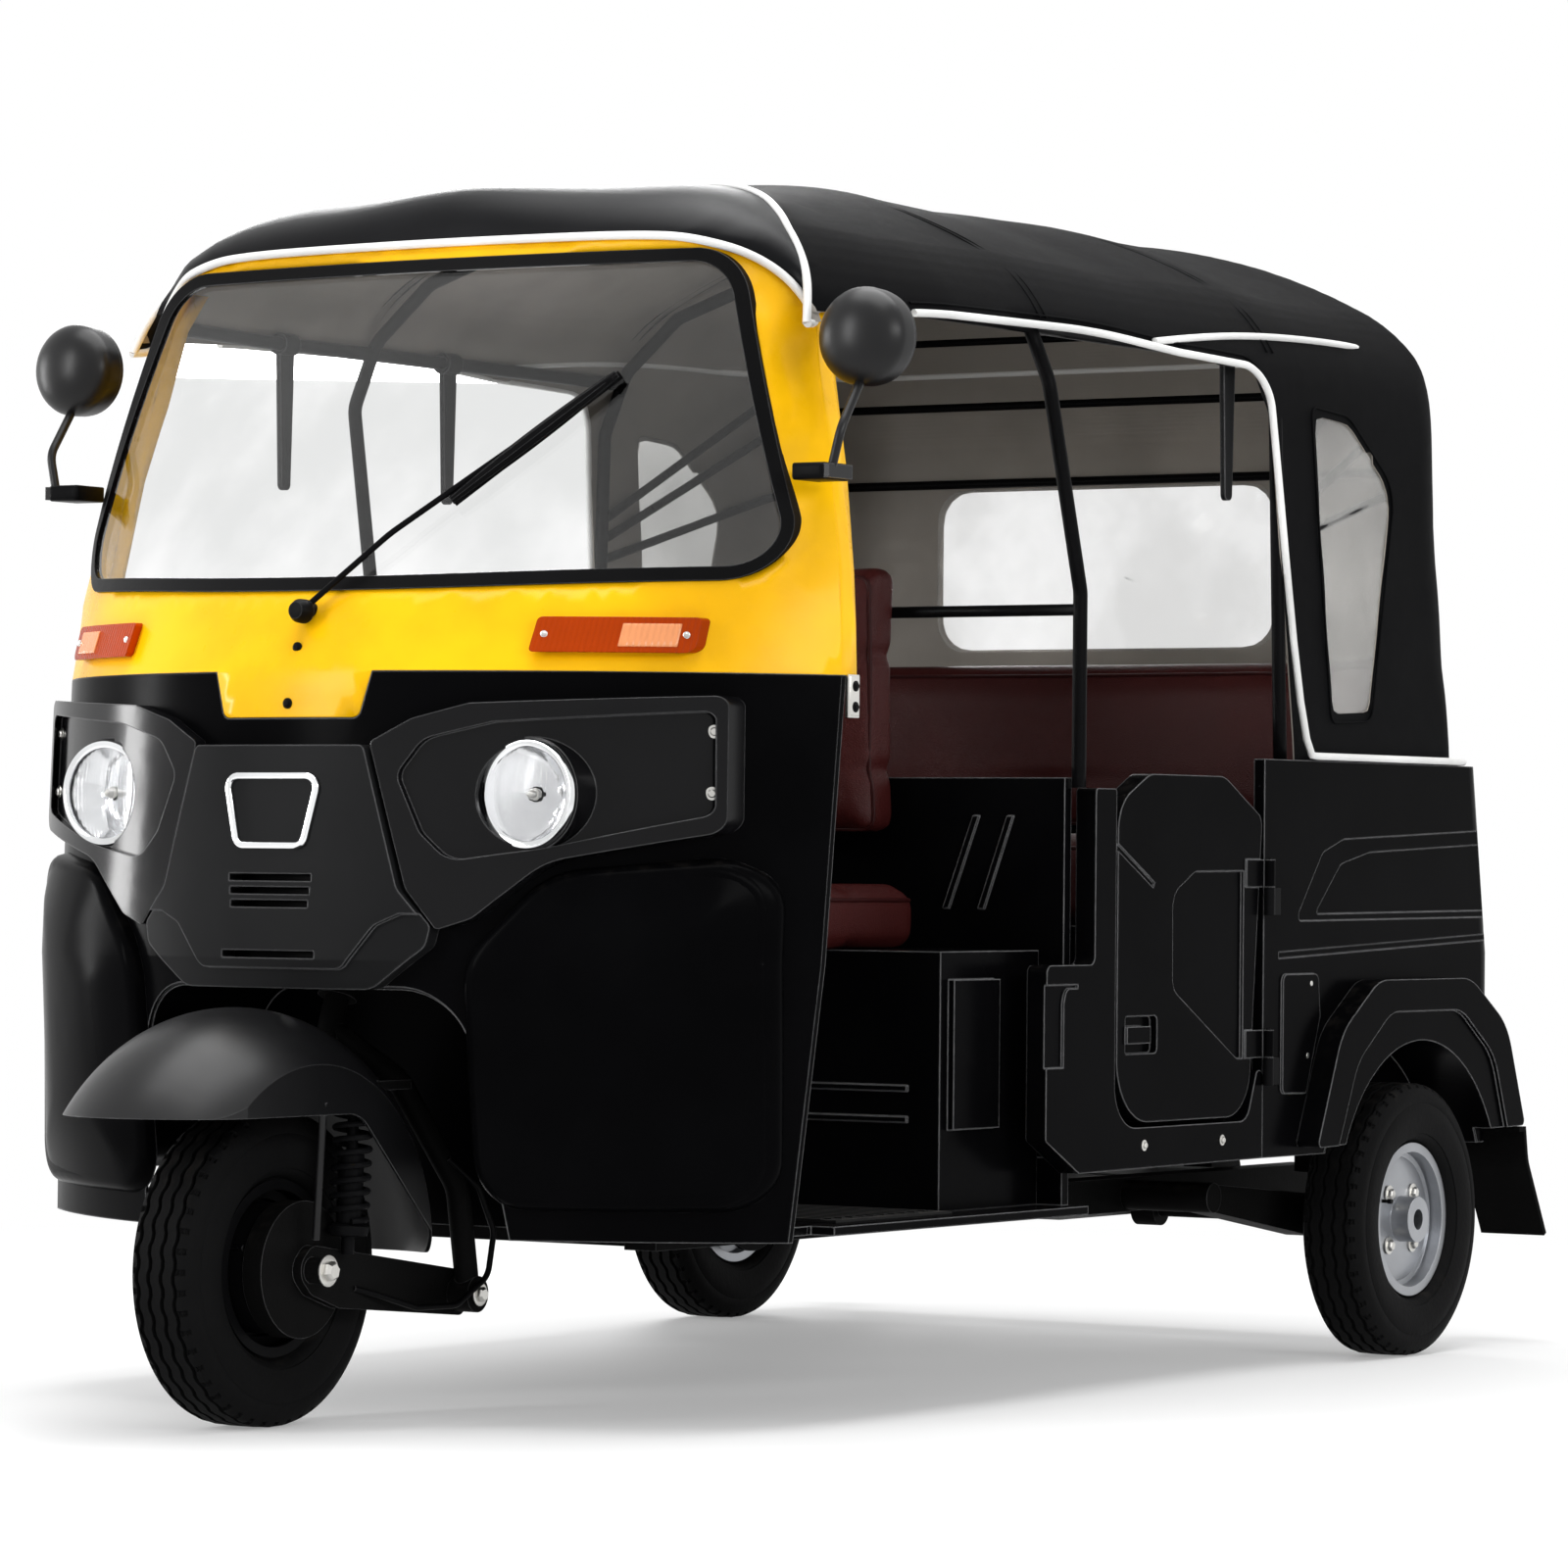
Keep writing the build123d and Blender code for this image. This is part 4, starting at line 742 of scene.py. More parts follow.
def ringed(name: str, rings: Sequence[Sequence[Vector]]) -> Piece:
    """Surface through closed rings of points, the last of which is filled.

    Args:
        name: Name of the surface.
        rings: Rings from the rim inwards, each with as many points.

    Returns:
        The surface.
    """
    form = bmesh.new()
    loops = [[form.verts.new(place) for place in ring] for ring in rings]
    count = len(loops[0])
    for outer, inner in zip(loops, loops[1:]):
        for i in range(count):
            form.faces.new((outer[i], outer[(i + 1) % count], inner[(i + 1) % count], inner[i]))
    form.faces.new(loops[-1])
    bmesh.ops.recalc_face_normals(form, faces=form.faces)
    mesh = bpy.data.meshes.new(name)
    form.to_mesh(mesh)
    form.free()
    piece = bpy.data.objects.new(name, mesh)
    bpy.context.scene.collection.objects.link(piece)
    return piece


def resample(points: Sequence[Vector], count: int) -> list[Vector]:
    """Points evenly spread along a line.

    Args:
        points: The line's corners.
        count: How many spans.

    Returns:
        One point more than the spans, the ends included.
    """
    corners = np.array([tuple(p) for p in points])
    steps = np.concatenate([[0.0], np.cumsum(np.linalg.norm(np.diff(corners, axis=0), axis=1))])
    even = np.linspace(0.0, steps[-1], count + 1)
    return [Vector(p) for p in np.stack([np.interp(even, steps, corners[:, axis]) for axis in range(3)], axis=1)]


def tube(name: str, points: Sequence[Vector], radius: float, closed: bool = False, smooth: bool = True,
         sides: int = 10) -> Piece:
    """Round tube along points.

    Args:
        name: Name of the piece.
        points: Route, in the row frame.
        radius: Tube's radius in metres.
        closed: Join the end to the start.
        smooth: Curve smoothly between the points.
        sides: Faces round the tube.

    Returns:
        The tube as a mesh.
    """
    rest_hands()
    curve = bpy.data.curves.new(name, "CURVE")
    curve.dimensions = "3D"
    spline = curve.splines.new("NURBS" if smooth else "POLY")
    spline.points.add(len(points) - 1)
    for slot_point, place in zip(spline.points, points):
        slot_point.co = (*place, 1.0)
    spline.use_cyclic_u = closed
    if smooth:
        spline.order_u = 3
        spline.use_endpoint_u = not closed
        spline.resolution_u = 4
    curve.bevel_depth = radius
    curve.bevel_resolution = max(1, sides // 4)
    curve.use_fill_caps = not closed
    piece = bpy.data.objects.new(name, curve)
    bpy.context.scene.collection.objects.link(piece)
    piece.select_set(True)
    bpy.context.view_layer.objects.active = piece
    bpy.ops.object.convert(target="MESH")
    return bpy.context.object


def lathe(name: str, profile: Sequence[tuple[float, float]], centre: Vector, axis: Vector, steps: int,
          shape: Callable[[float, float, int], tuple[float, float]] | None = None) -> Piece:
    """Spin a closed profile about an axis.

    Args:
        name: Name of the piece.
        profile: (distance along the axis, radius) of each corner, in metres.
        centre: A point on the axis.
        axis: Its direction.
        steps: Faces round the form.
        shape: Changes a corner's place at each step, from (along, radius, step).

    Returns:
        The spun piece, closed and facing outwards.
    """
    axis = axis.normalized()
    out = axis.orthogonal().normalized()
    count = len(profile)
    hoop = Shaper(name, Primitive.DISC, centre, (1.0, 1.0, 1.0), vertices=count)
    piece = hoop.piece
    for vertex, (along, radius) in zip(piece.data.vertices, profile):
        vertex.co = centre + axis * along + out * radius
    bpy.ops.object.mode_set(mode="EDIT")
    bpy.ops.mesh.select_all(action="SELECT")
    bpy.ops.mesh.spin(steps=steps, angle=2 * math.pi, center=centre, axis=axis, use_auto_merge=False)
    bpy.ops.mesh.select_all(action="SELECT")
    bpy.ops.mesh.remove_doubles(threshold=1e-6)
    bpy.ops.mesh.normals_make_consistent(inside=False)
    bpy.ops.object.mode_set(mode="OBJECT")
    if shape:
        side = axis.cross(out)
        for vertex in piece.data.vertices:
            offset = vertex.co - centre
            along = offset.dot(axis)
            flat = offset - axis * along
            angle = math.atan2(flat.dot(side), flat.dot(out))
            step = round(angle / (2 * math.pi) * steps) % steps
            new_along, new_radius = shape(along, flat.length, step)
            vertex.co = centre + axis * new_along + flat.normalized() * new_radius
    return piece


def hex_bolts(name: str, places: Iterable[tuple[Vector, Vector]], width: float, finish: Finish, body: str,
              domed: bool = False) -> Piece:
    """Bolts or screws, each a washer and a head, joined as one piece.

    Args:
        name: Name of the joined piece.
        places: (seat, outward direction) of each bolt.
        width: Width of a head in metres.
        finish: Their finish.
        body: Body they ride on.
        domed: Make round domed heads instead of six-sided ones.

    Returns:
        The joined piece.
    """
    made = []
    for seat, outward in places:
        outward = outward.normalized()
        height = 0.45 * width
        washer = lathe("washer", [(-0.0005, 0.0), (-0.0005, 0.78 * width), (0.0012, 0.78 * width),
                                  (0.0018, 0.6 * width), (0.0018, 0.0)], seat, outward, 20)
        sides = 20 if domed else 6
        head = lathe("head", [(0.0010, 0.0), (0.0010, 0.5 * width), (0.7 * height, 0.5 * width),
                              (height, 0.38 * width), (height, 0.0)], seat, outward, sides)
        made += [washer, head]
    return settle(join(made, name), finish, body)


# ---- hood
def arc(start: tuple[float, float], middle: tuple[float, float], end: tuple[float, float],
        steps: int) -> list[tuple[float, float]]:
    """Points along the circular arc through three points.

    Args:
        start: First point.
        middle: A point between the ends.
        end: Last point, which is left out.
        steps: How many points.

    Returns:
        The points, from the start on.
    """
    (ax, ay), (bx, by), (cx, cy) = start, middle, end
    twice = 2 * (ax * (by - cy) + bx * (cy - ay) + cx * (ay - by))
    ux = ((ax * ax + ay * ay) * (by - cy) + (bx * bx + by * by) * (cy - ay) + (cx * cx + cy * cy) * (ay - by)) / twice
    uy = ((ax * ax + ay * ay) * (cx - bx) + (bx * bx + by * by) * (ax - cx) + (cx * cx + cy * cy) * (bx - ax)) / twice
    radius = math.hypot(ax - ux, ay - uy)
    first = math.atan2(ay - uy, ax - ux)
    sweep = math.remainder(math.atan2(cy - uy, cx - ux) - first, 2 * math.pi)
    angles = (first + sweep * i / steps for i in range(steps))
    return [(ux + radius * math.cos(a), uy + radius * math.sin(a)) for a in angles]


def rounded(corners: Sequence[tuple[float, float, float]], steps: int = 8) -> list[tuple[float, float]]:
    """Closed outline of (u, v, rounding radius) corners as points.

    Args:
        corners: The outline's corners.
        steps: Points along each rounded corner.

    Returns:
        The outline's points.
    """
    points = []
    for i, (u, v, radius) in enumerate(corners):
        here = Vector((u, v))
        if not radius:
            points.append((u, v))
            continue
        before = (Vector(corners[i - 1][:2]) - here).normalized()
        after = (Vector(corners[(i + 1) % len(corners)][:2]) - here).normalized()
        half = before.angle(after) / 2
        reach = radius / math.tan(half)
        centre = here + (before + after).normalized() * (radius / math.sin(half))
        middle = centre + (here - centre).normalized() * radius
        ends = here + before * reach, here + after * reach
        points += arc(tuple(ends[0]), tuple(middle), tuple(ends[1]), steps) + [tuple(ends[1])]
    return points


def inside_by(outline: Sequence[tuple[float, float]], u: np.ndarray, v: np.ndarray) -> np.ndarray:
    """How far points lie outside a convex outline: negative inside.

    Args:
        outline: Corners of the convex outline.
        u: First coordinates.
        v: Second coordinates.

    Returns:
        The largest distance beyond any of its sides.
    """
    corners = np.array(outline)
    following = np.roll(corners, -1, axis=0)
    sides = following - corners
    lengths = np.hypot(sides[:, 0], sides[:, 1])
    keep = lengths > 1e-6
    corners, sides, lengths = corners[keep], sides[keep], lengths[keep]
    area = np.sum(corners[:, 0] * np.roll(corners[:, 1], -1) - np.roll(corners[:, 0], -1) * corners[:, 1])
    turn = 1.0 if area > 0 else -1.0
    outward = turn * np.stack([sides[:, 1], -sides[:, 0]], axis=1) / lengths[:, None]
    reach = np.sum(outward * corners, axis=1)
    return np.max(u[:, None] * outward[:, 0] + v[:, None] * outward[:, 1] - reach, axis=1)


def nearest_on(outline: np.ndarray, points: np.ndarray) -> tuple[np.ndarray, np.ndarray]:
    """Nearest point of a closed outline to each point.

    Args:
        outline: The outline's points, one a row.
        points: Points to measure, one a row.

    Returns:
        The nearest points and their distances.
    """
    start = outline[None, :, :]
    side = np.roll(outline, -1, axis=0)[None, :, :] - start
    offset = points[:, None, :] - start
    share = np.clip(np.sum(offset * side, axis=2) / np.maximum(np.sum(side * side, axis=2), 1e-12), 0, 1)
    near = start + share[:, :, None] * side
    distance = np.linalg.norm(points[:, None, :] - near, axis=2)
    best = np.argmin(distance, axis=1)
    rows = np.arange(len(points))
    return near[rows, best], distance[rows, best]


def holds(outline: np.ndarray, points: np.ndarray) -> np.ndarray:
    """Find which points lie inside a closed outline, by counting crossings.

    Args:
        outline: Corners, one a row.
        points: Points, one a row.

    Returns:
        True for each point inside.
    """
    inside = np.zeros(len(points), dtype=bool)
    following = np.roll(outline, -1, axis=0)
    for (u0, v0), (u1, v1) in zip(outline, following):
        crosses = (v0 > points[:, 1]) != (v1 > points[:, 1])
        at_u = (u1 - u0) * (points[:, 1] - v0) / (v1 - v0 + 1e-12) + u0
        inside ^= crosses & (points[:, 0] < at_u)
    return inside


@dataclass
class Hood:
    """Fabric hood: one curved sheet over the bows, with its windows, piping and seams."""

    belt: float = 885.6
    crown: float = 1700.0
    rear: float = -2180.0
    cell: float = 20.0
    corner: float = 26.0
    thickness: float = 0.0022
    sag: float = 7.0
    piping_radius: float = 0.0054
    seam_radius: float = 0.0016
    seam_gap: float = 9.0
    pane_hem: float = 1.03
    pane_rings: int = 8
    pane_thickness: float = 0.0008
    narrowing: float = 0.075
    plan_radius: float = 110.0
    bows: tuple[float, ...] = (-470.0, -989.0, -1640.0, -2120.0)
    body: str = "vehicle_body"

    def section(self) -> list[tuple[float, float]]:
        """Cross-section of the hood.

        Returns:
            Its corners as (Y, Z).
        """
        left = arc((606, 1390), (564, 1505), (470, 1583), 10)
        top = arc((470, 1583), (0, self.crown), (-470, 1583), 24)
        right = arc((-470, 1583), (-564, 1505), (-606, 1390), 10)
        return [(622, 700), *left, *top, *right, (-606, 1390), (-622, 700)]

    def profile(self) -> list[tuple[float, float]]:
        """Outline of the hood from the side.

        Returns:
            Its corners as (X, Z).
        """
        back = self.rear - 2
        return rounded([(-200, 500, 0), (-200, 1540, 0), (-396, 1612, 40), (-1120, 1702, 2500), (back, 1698, 170),
                        (back, 1400, 0), (-2400, 500, 0)], 12)

    def half_plan(self, z: np.ndarray) -> tuple[np.ndarray, np.ndarray]:
        """Plan of the hood at heights.

        Args:
            z: Heights in millimetres.

        Returns:
            X of the rear wall, and half width.
        """
        heights = (700.0, 885.0, 1030.0, 1250.0, 1720.0)
        rear = np.interp(z, heights, (-2318.0, -2272.0, -2225.0, -2196.0, -2180.0))
        half = np.interp(z, heights, (624.0, 622.0, 618.0, 611.0, 604.0))
        return rear, half

    def taper(self, x: np.ndarray, z: np.ndarray) -> np.ndarray:
        """Share by which the hood narrows towards the brow, by X and height."""
        return self.narrowing * np.clip((x + 760.0) / 330.0, 0, 1) ** 1.3 * np.clip((z - 1050.0) / 330.0, 0, 1)

    def beyond(self, p: np.ndarray) -> np.ndarray:
        """How far points lie outside the hood's outer shape.

        Args:
            p: Points in millimetres from the front axle's plane, one a row.

        Returns:
            Distances, negative inside, with the corners rounded.
        """
        rear, half = self.half_plan(p[:, 2])
        radius = self.plan_radius
        wide = p[:, 1] * (1 + self.taper(p[:, 0], p[:, 2]))
        dx = (rear + radius) - p[:, 0]
        dy = np.abs(wide) - (half - radius)
        round_corner = np.hypot(np.maximum(dx, 0), np.maximum(dy, 0)) + np.minimum(np.maximum(dx, dy), 0) - radius
        walls = [inside_by(self.section(), wide, p[:, 2]), inside_by(self.profile(), p[:, 0], p[:, 2]), round_corner]
        result = walls[0]
        for wall in walls[1:]:
            blend = np.clip(0.5 + 0.5 * (result - wall) / self.corner, 0, 1)
            result = wall * (1 - blend) + result * blend + self.corner * blend * (1 - blend)
        return result

    def cast(self, origins: np.ndarray, targets: np.ndarray, inset: float = 0.0) -> np.ndarray:
        """Points where lines from inside the hood cross its surface.

        Args:
            origins: Start points inside.
            targets: Points outside that the lines aim at.
            inset: How far under the outer surface to stop.

        Returns:
            The crossing points.
        """
        low, high = np.zeros(len(origins)), np.ones(len(origins))
        for _ in range(26):
            middle = (low + high) / 2
            outside = self.beyond(origins + (targets - origins) * middle[:, None]) > -inset
            high = np.where(outside, middle, high)
            low = np.where(outside, low, middle)
        return origins + (targets - origins) * low[:, None]

    def sheet_points(self, points: np.ndarray, inset: float = 0.0) -> np.ndarray:
        """Carry points of a box round the hood onto its surface.

        Args:
            points: Points of the box, one a row.
            inset: How far under the outer surface to stop.

        Returns:
            The carried points.
        """
        origins = np.stack([np.clip(points[:, 0], -2030, 0), np.clip(points[:, 1], -430, 430),
                            np.clip(points[:, 2], 0, 1420)], axis=1)
        return self.cast(origins, points, inset)

    def side_point(self, x: float, z: float, side: int, lift: float = 0.0) -> Vector:
        """Point on the hood's side or roof edge.

        Args:
            x: X in millimetres.
            z: Height in millimetres.
            side: 1 on the left, -1 on the right.
            lift: How far to stand off the cloth.

        Returns:
            The point in the row frame.
        """
        start = np.array([[x, 0.0, z]])
        end = np.array([[x, side * 900.0, z]])
        found = self.cast(start, end)[0]
        return at(x, found[1] + side * lift, z)

    def opening(self) -> list[tuple[float, float]]:
        """Side opening's outline as (X, Z) points."""
        return rounded([(-200, 1432, 0), (-361, 1441, 0), (-700, 1462, 2200), (-1120, 1470, 2500), (-1350, 1457, 900),
                        (-1603, 1452, 70), (-1688, 700, 0), (-200, 700, 0)], 10)

    def quarter_window(self) -> list[tuple[float, float]]:
        """Outline of the clear pane in the rear quarter as (X, Z) points."""
        return rounded([(-1742, 1392, 15), (-1850, 1385, 60), (-1985, 1290, 60), (-1905, 960, 20), (-1788, 955, 15)], 8)

    def rear_window(self) -> list[tuple[float, float]]:
        """Outline of the clear pane in the rear wall as (Y, Z) points."""
        return rounded([(-300, 1070, 50), (300, 1070, 50), (300, 1322, 50), (-300, 1322, 50)], 8)

    def front_edge(self, z: np.ndarray) -> np.ndarray:
        """X of the hood's front edge at heights, where the moulded brow begins."""
        return np.interp(z, (1400.0, 1443.0, 1558.0, 1631.0, 1650.0), (-420.0, -430.0, -490.0, -600.0, -650.0))

    def front_line(self, count: int, lift: float) -> list[Vector]:
        """Hood's front edge from the right eaves over the roof to the left eaves.

        Args:
            count: How many spans.
            lift: How far outside the cloth, in millimetres.

        Returns:
            Points of the edge in the row frame.
        """
        line = []
        for i in range(2 * count + 1):
            lean = math.radians(87.0 * (i / count - 1.0))
            x = -500.0
            aim = np.array([[0.0, math.sin(lean), math.cos(lean)]])
            for _ in range(6):
                start = np.array([[x, 0.0, 1400.0]])
                found = self.cast(start, start + 900.0 * aim)[0]
                x = float(self.front_edge(found[2]))
            found = found + lift * aim[0]
            line.append(at(x, found[1], found[2]))
        return resample(line, count)

    def blank(self) -> tuple[Piece, np.ndarray]:
        """Fine box round the hood, carried onto its surface.

        Returns:
            The object and its vertices in millimetres from the front axle's plane.
        """
        low, high = np.array([-2420.0, -700.0, 700.0]), np.array([-300.0, 700.0, 1800.0])
        centre, size = (low + high) / 2, high - low
        box = Shaper("canopy_sheet", Primitive.BOX, at(*centre), tuple(size * MM))
        for axis in range(3):
            cuts = int(size[axis] / self.cell)
            box.pick()
            form = bmesh.from_edit_mesh(box.piece.data)
            along = [e for e in form.edges
                     if abs((e.verts[0].co - e.verts[1].co).normalized()[axis]) > 0.99]
            bmesh.ops.subdivide_edges(form, edges=along, cuts=cuts, use_grid_fill=True)
            bmesh.update_edit_mesh(box.piece.data)
        rest_hands()
        places = np.array([v.co for v in box.piece.data.vertices]) / MM - [ORIGIN_SHIFT, 0, 0]
        return box.piece, self.sheet_points(places)

    def cut_openings(self, points: np.ndarray) -> np.ndarray:
        """Move the vertices beside each opening's edge onto that edge.

        Args:
            points: The sheet's vertices.

        Returns:
            The vertices with the ones beside an edge moved.
        """
        reach = 0.62 * self.cell
        sides = np.abs(points[:, 1]) > 500
        back = (points[:, 0] < -2120) & (np.abs(points[:, 1]) < 500)
        for outline, keep, axes in ((self.opening(), sides, (0, 2)), (self.quarter_window(), sides, (0, 2)),
                                    (self.rear_window(), back, (1, 2))):
            dense = np.array(outline)
            rows = np.nonzero(keep)[0]
            near, distance = nearest_on(dense, points[rows][:, axes])
            moving = rows[distance < reach]
            points[np.ix_(moving, axes)] = near[distance < reach]
        edge = self.front_edge(points[:, 2])
        close = (np.abs(points[:, 0] - edge) < reach) & (points[:, 2] > 1380)
        points[close, 0] = edge[close]
        low = np.abs(points[:, 2] - self.belt) < reach
        points[low, 2] = self.belt
        return points

    def settle_on_bows(self, points: np.ndarray) -> np.ndarray:
        """Let the cloth hang a little between the bows and pull into soft folds.

        Args:
            points: The sheet's vertices.

        Returns:
            The vertices of the hanging sheet.
        """
        x, y, z = points.T
        between = np.zeros(len(points))
        for front, back in zip(self.bows, self.bows[1:]):
            share = np.clip((front - x) / (front - back), 0, 1)
            between += np.where((share > 0) & (share < 1), np.sin(math.pi * share) ** 2, 0)
        roof = np.clip((z - 1500) / 120, 0, 1)
        wall = np.clip((1360 - z) / 160, 0, 1) * np.clip((z - self.belt - 20) / 120, 0, 1)
        folds = np.sin(x * 0.021 + z * 0.017) * np.sin(x * 0.008 - z * 0.023 + 1.3)
        z = z - roof * (self.sag * between + 1.2 * folds)
        ends = 1.0 - np.clip((np.abs(y) - 300) / 350, 0, 1)
        side = wall * np.clip((-1700 - x) / 60, 0, 1)
        y = y - np.sign(y) * side * (2.0 + 1.6 * folds) * (1 - ends)
        x = x + np.where(x < -2150, wall * ends * (2.5 + 1.8 * np.sin(y * 0.03) * np.sin(z * 0.02)), 0)
        return np.stack([x, y, z], axis=1)

    def trim(self, piece: Piece, points: np.ndarray) -> None:
        """Put the sheet's vertices in place and delete what the openings take away.

        Args:
            piece: The sheet's object.
            points: Its vertices in millimetres from the front axle's plane.
        """
        form = bmesh.new()
        form.from_mesh(piece.data)
        form.verts.ensure_lookup_table()
        centres = np.array([np.mean([points[v.index] for v in face.verts], axis=0) for face in form.faces])
        sides = np.abs(centres[:, 1]) > 440
        back = (centres[:, 0] < -2100) & (np.abs(centres[:, 1]) < 500)
        gone = (centres[:, 2] < self.belt + 0.1) | (centres[:, 0] > self.front_edge(centres[:, 2]) - 0.5)
        gone |= sides & holds(np.array(self.opening()), centres[:, (0, 2)])
        gone |= sides & holds(np.array(self.quarter_window()), centres[:, (0, 2)])
        gone |= back & holds(np.array(self.rear_window()), centres[:, (1, 2)])
        gone |= (centres[:, 0] > -1500) & (centres[:, 2] < 1436)
        hung = self.settle_on_bows(points)
        for vertex, place in zip(form.verts, hung):
            vertex.co = at(*place)
        faces = [face for face, away in zip(form.faces, gone) if away]
        bmesh.ops.delete(form, geom=faces, context="FACES")
        bmesh.ops.remove_doubles(form, verts=form.verts, dist=0.0004)
        bmesh.ops.dissolve_degenerate(form, dist=0.0002, edges=form.edges)
        bmesh.ops.recalc_face_normals(form, faces=form.faces)
        form.to_mesh(piece.data)
        form.free()
        face_out(piece, at(-1500, 0, 1200))

    def bows_and_rails(self, node: Piece) -> None:
        """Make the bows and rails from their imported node, narrowed with the hood towards the brow.

        Args:
            node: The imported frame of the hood.
        """
        piece, form = refined_copy(node, "hood_bows")
        places = np.array([v.co for v in form.verts]) / MM - [ORIGIN_SHIFT, 0, 0]
        shares = self.taper(places[:, 0], places[:, 2])
        for vertex, share in zip(form.verts, shares):
            vertex.co.y /= 1 + float(share)
        form.to_mesh(piece.data)
        form.free()
        settle(piece, BLACK_STEEL, self.body)
        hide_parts("hood_frame")

    def build(self, node: Piece) -> None:
        """Make the frame, the sheet, its windows and its piping.

        Args:
            node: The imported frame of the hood.
        """
        self.bows_and_rails(node)
        piece, points = self.blank()
        self.trim(piece, self.cut_openings(points))
        thicken(piece, self.thickness)
        settle(piece, HOOD_CLOTH, self.body)
        line_inside(piece, HOOD_LINING)
        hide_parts("canopy")
        self.windows()
        self.piping()
        self.seams()

    def pane(self, name: str, outline: Sequence[tuple[float, float]], spot: Callable[[float, float], Vector],
             ripple: float, finish: Finish = CLEAR_VINYL) -> Piece:
        """One clear pane as a gently rippled sheet with its rim.

        Args:
            name: Name of the pane.
            outline: Its outline in two coordinates, in millimetres.
            spot: Turns the two coordinates into a place on the hood.
            ripple: Height of the ripple in metres.
            finish: Its finish.

        Returns:
            The pane.
        """
        edge = np.array(outline)
        middle = edge.mean(axis=0)
        shares = [self.pane_hem * (1 - ring / self.pane_rings) for ring in range(self.pane_rings)]
        piece = ringed(name, [[spot(*(middle + (p - middle) * share)) for p in edge] for share in shares])
        apply_modifier(piece, "SUBSURF", levels=1, render_levels=1)
        for vertex in piece.data.vertices:
            wave = math.sin(vertex.co.z * 41) * math.sin((vertex.co.x + vertex.co.y) * 33)
            vertex.co += vertex.normal * ripple * wave
        apply_modifier(piece, "SOLIDIFY", thickness=self.pane_thickness, offset=0.0)
        return settle(piece, finish, self.body)

    def windows(self) -> None:
        """Clear panes of both rear quarters and of the rear wall."""
        for side, word in SIDES:
            self.pane(f"quarter_pane_{word}", self.quarter_window(),
                                   lambda x, z, s=side: self.side_point(x, z, s, -4.0), 0.0012)
        self.pane("rear_pane", self.rear_window(), self.back_point, 0.0015, REAR_VINYL)
        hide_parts("hood_windows")

    def back_point(self, y: float, z: float) -> Vector:
        """Point just under the rear wall's surface at a half width and a height."""
        found = self.cast(np.array([[-1800.0, y, z]]), np.array([[-2500.0, y, z]]))[0]
        return at(found[0] + 6.0, y, z)

    def roof_line(self, start_x: float, end_x: float, heights: Sequence[float]) -> list[Vector]:
        """Line across the roof from one eaves to the other, by heights up one side.

        Args:
            start_x: X at the eaves.
            end_x: X at the crown.
            heights: Heights of the points on one side.

        Returns:
            The line's points over the whole roof.
        """
        low, high = heights[0], self.crown
        line = []
        for z in heights:
            x = start_x + (end_x - start_x) * (z - low) / (high - low)
            line.append(self.side_point(x, z, 1, 1.0))
        top = self.cast(np.array([[end_x, 0.0, 1300.0]]), np.array([[end_x, 0.0, 2000.0]]))[0]
        crown = [at(end_x, 0, top[2] + 1.0)]
        return line + crown + [Vector((p.x, -p.y, p.z)) for p in reversed(line)]

    def piping(self) -> None:
        """White piping round the side openings, along the belt and over the roof."""
        radius = self.piping_radius
        for side, word in SIDES:
            edge = [p for p in self.opening() if p[1] > self.belt + 2 and p[0] < -385]
            route = [self.side_point(x, z, side, 1.5) for x, z in edge]
            corner_x = -1667.0
            belt_line = [at(corner_x - 6 - i * 60, side * 624.0, self.belt + 6) for i in range(9)]
            round_back = []
            for i in range(7):
                angle = math.radians(90 * (i + 1) / 7)
                round_back.append(at(-2164 - 110 * math.sin(angle), side * (514 + 110 * math.cos(angle)),
                                     self.belt + 6))
            strip = tube(f"opening_piping_{word}", route + belt_line + round_back, radius, sides=12)
            settle(strip, PIPING, self.body)
        across = [at(-2274.0, y, self.belt + 6) for y in (500, 250, 0, -250, -500)]
        settle(tube("tail_piping", across, radius, sides=12), PIPING, self.body)
        settle(tube("brow_piping", self.front_line(40, 1.5), 1.05 * radius, sides=12), PIPING, self.body)
        self.eaves_piping()

    def eaves_piping(self) -> None:
        """Piping along the rear part of the eaves and across the rear wall."""
        line = [self.side_point(x, z, 1, 1.0) for x, z in
                ((-1290, 1468), (-1420, 1484), (-1600, 1500), (-1800, 1508), (-1980, 1508))]
        for y in (560, 500, 400, 200):
            found = self.cast(np.array([[-1900.0, y * 0.6, 1508.0]]), np.array([[-2420.0, y * 1.06, 1508.0]]))[0]
            line.append(at(found[0] - 1.0, found[1], 1508.0))
        whole = line + [Vector((p.x, -p.y, p.z)) for p in reversed(line)]
        settle(tube("eaves_piping", whole, self.piping_radius, sides=12), PIPING, self.body)

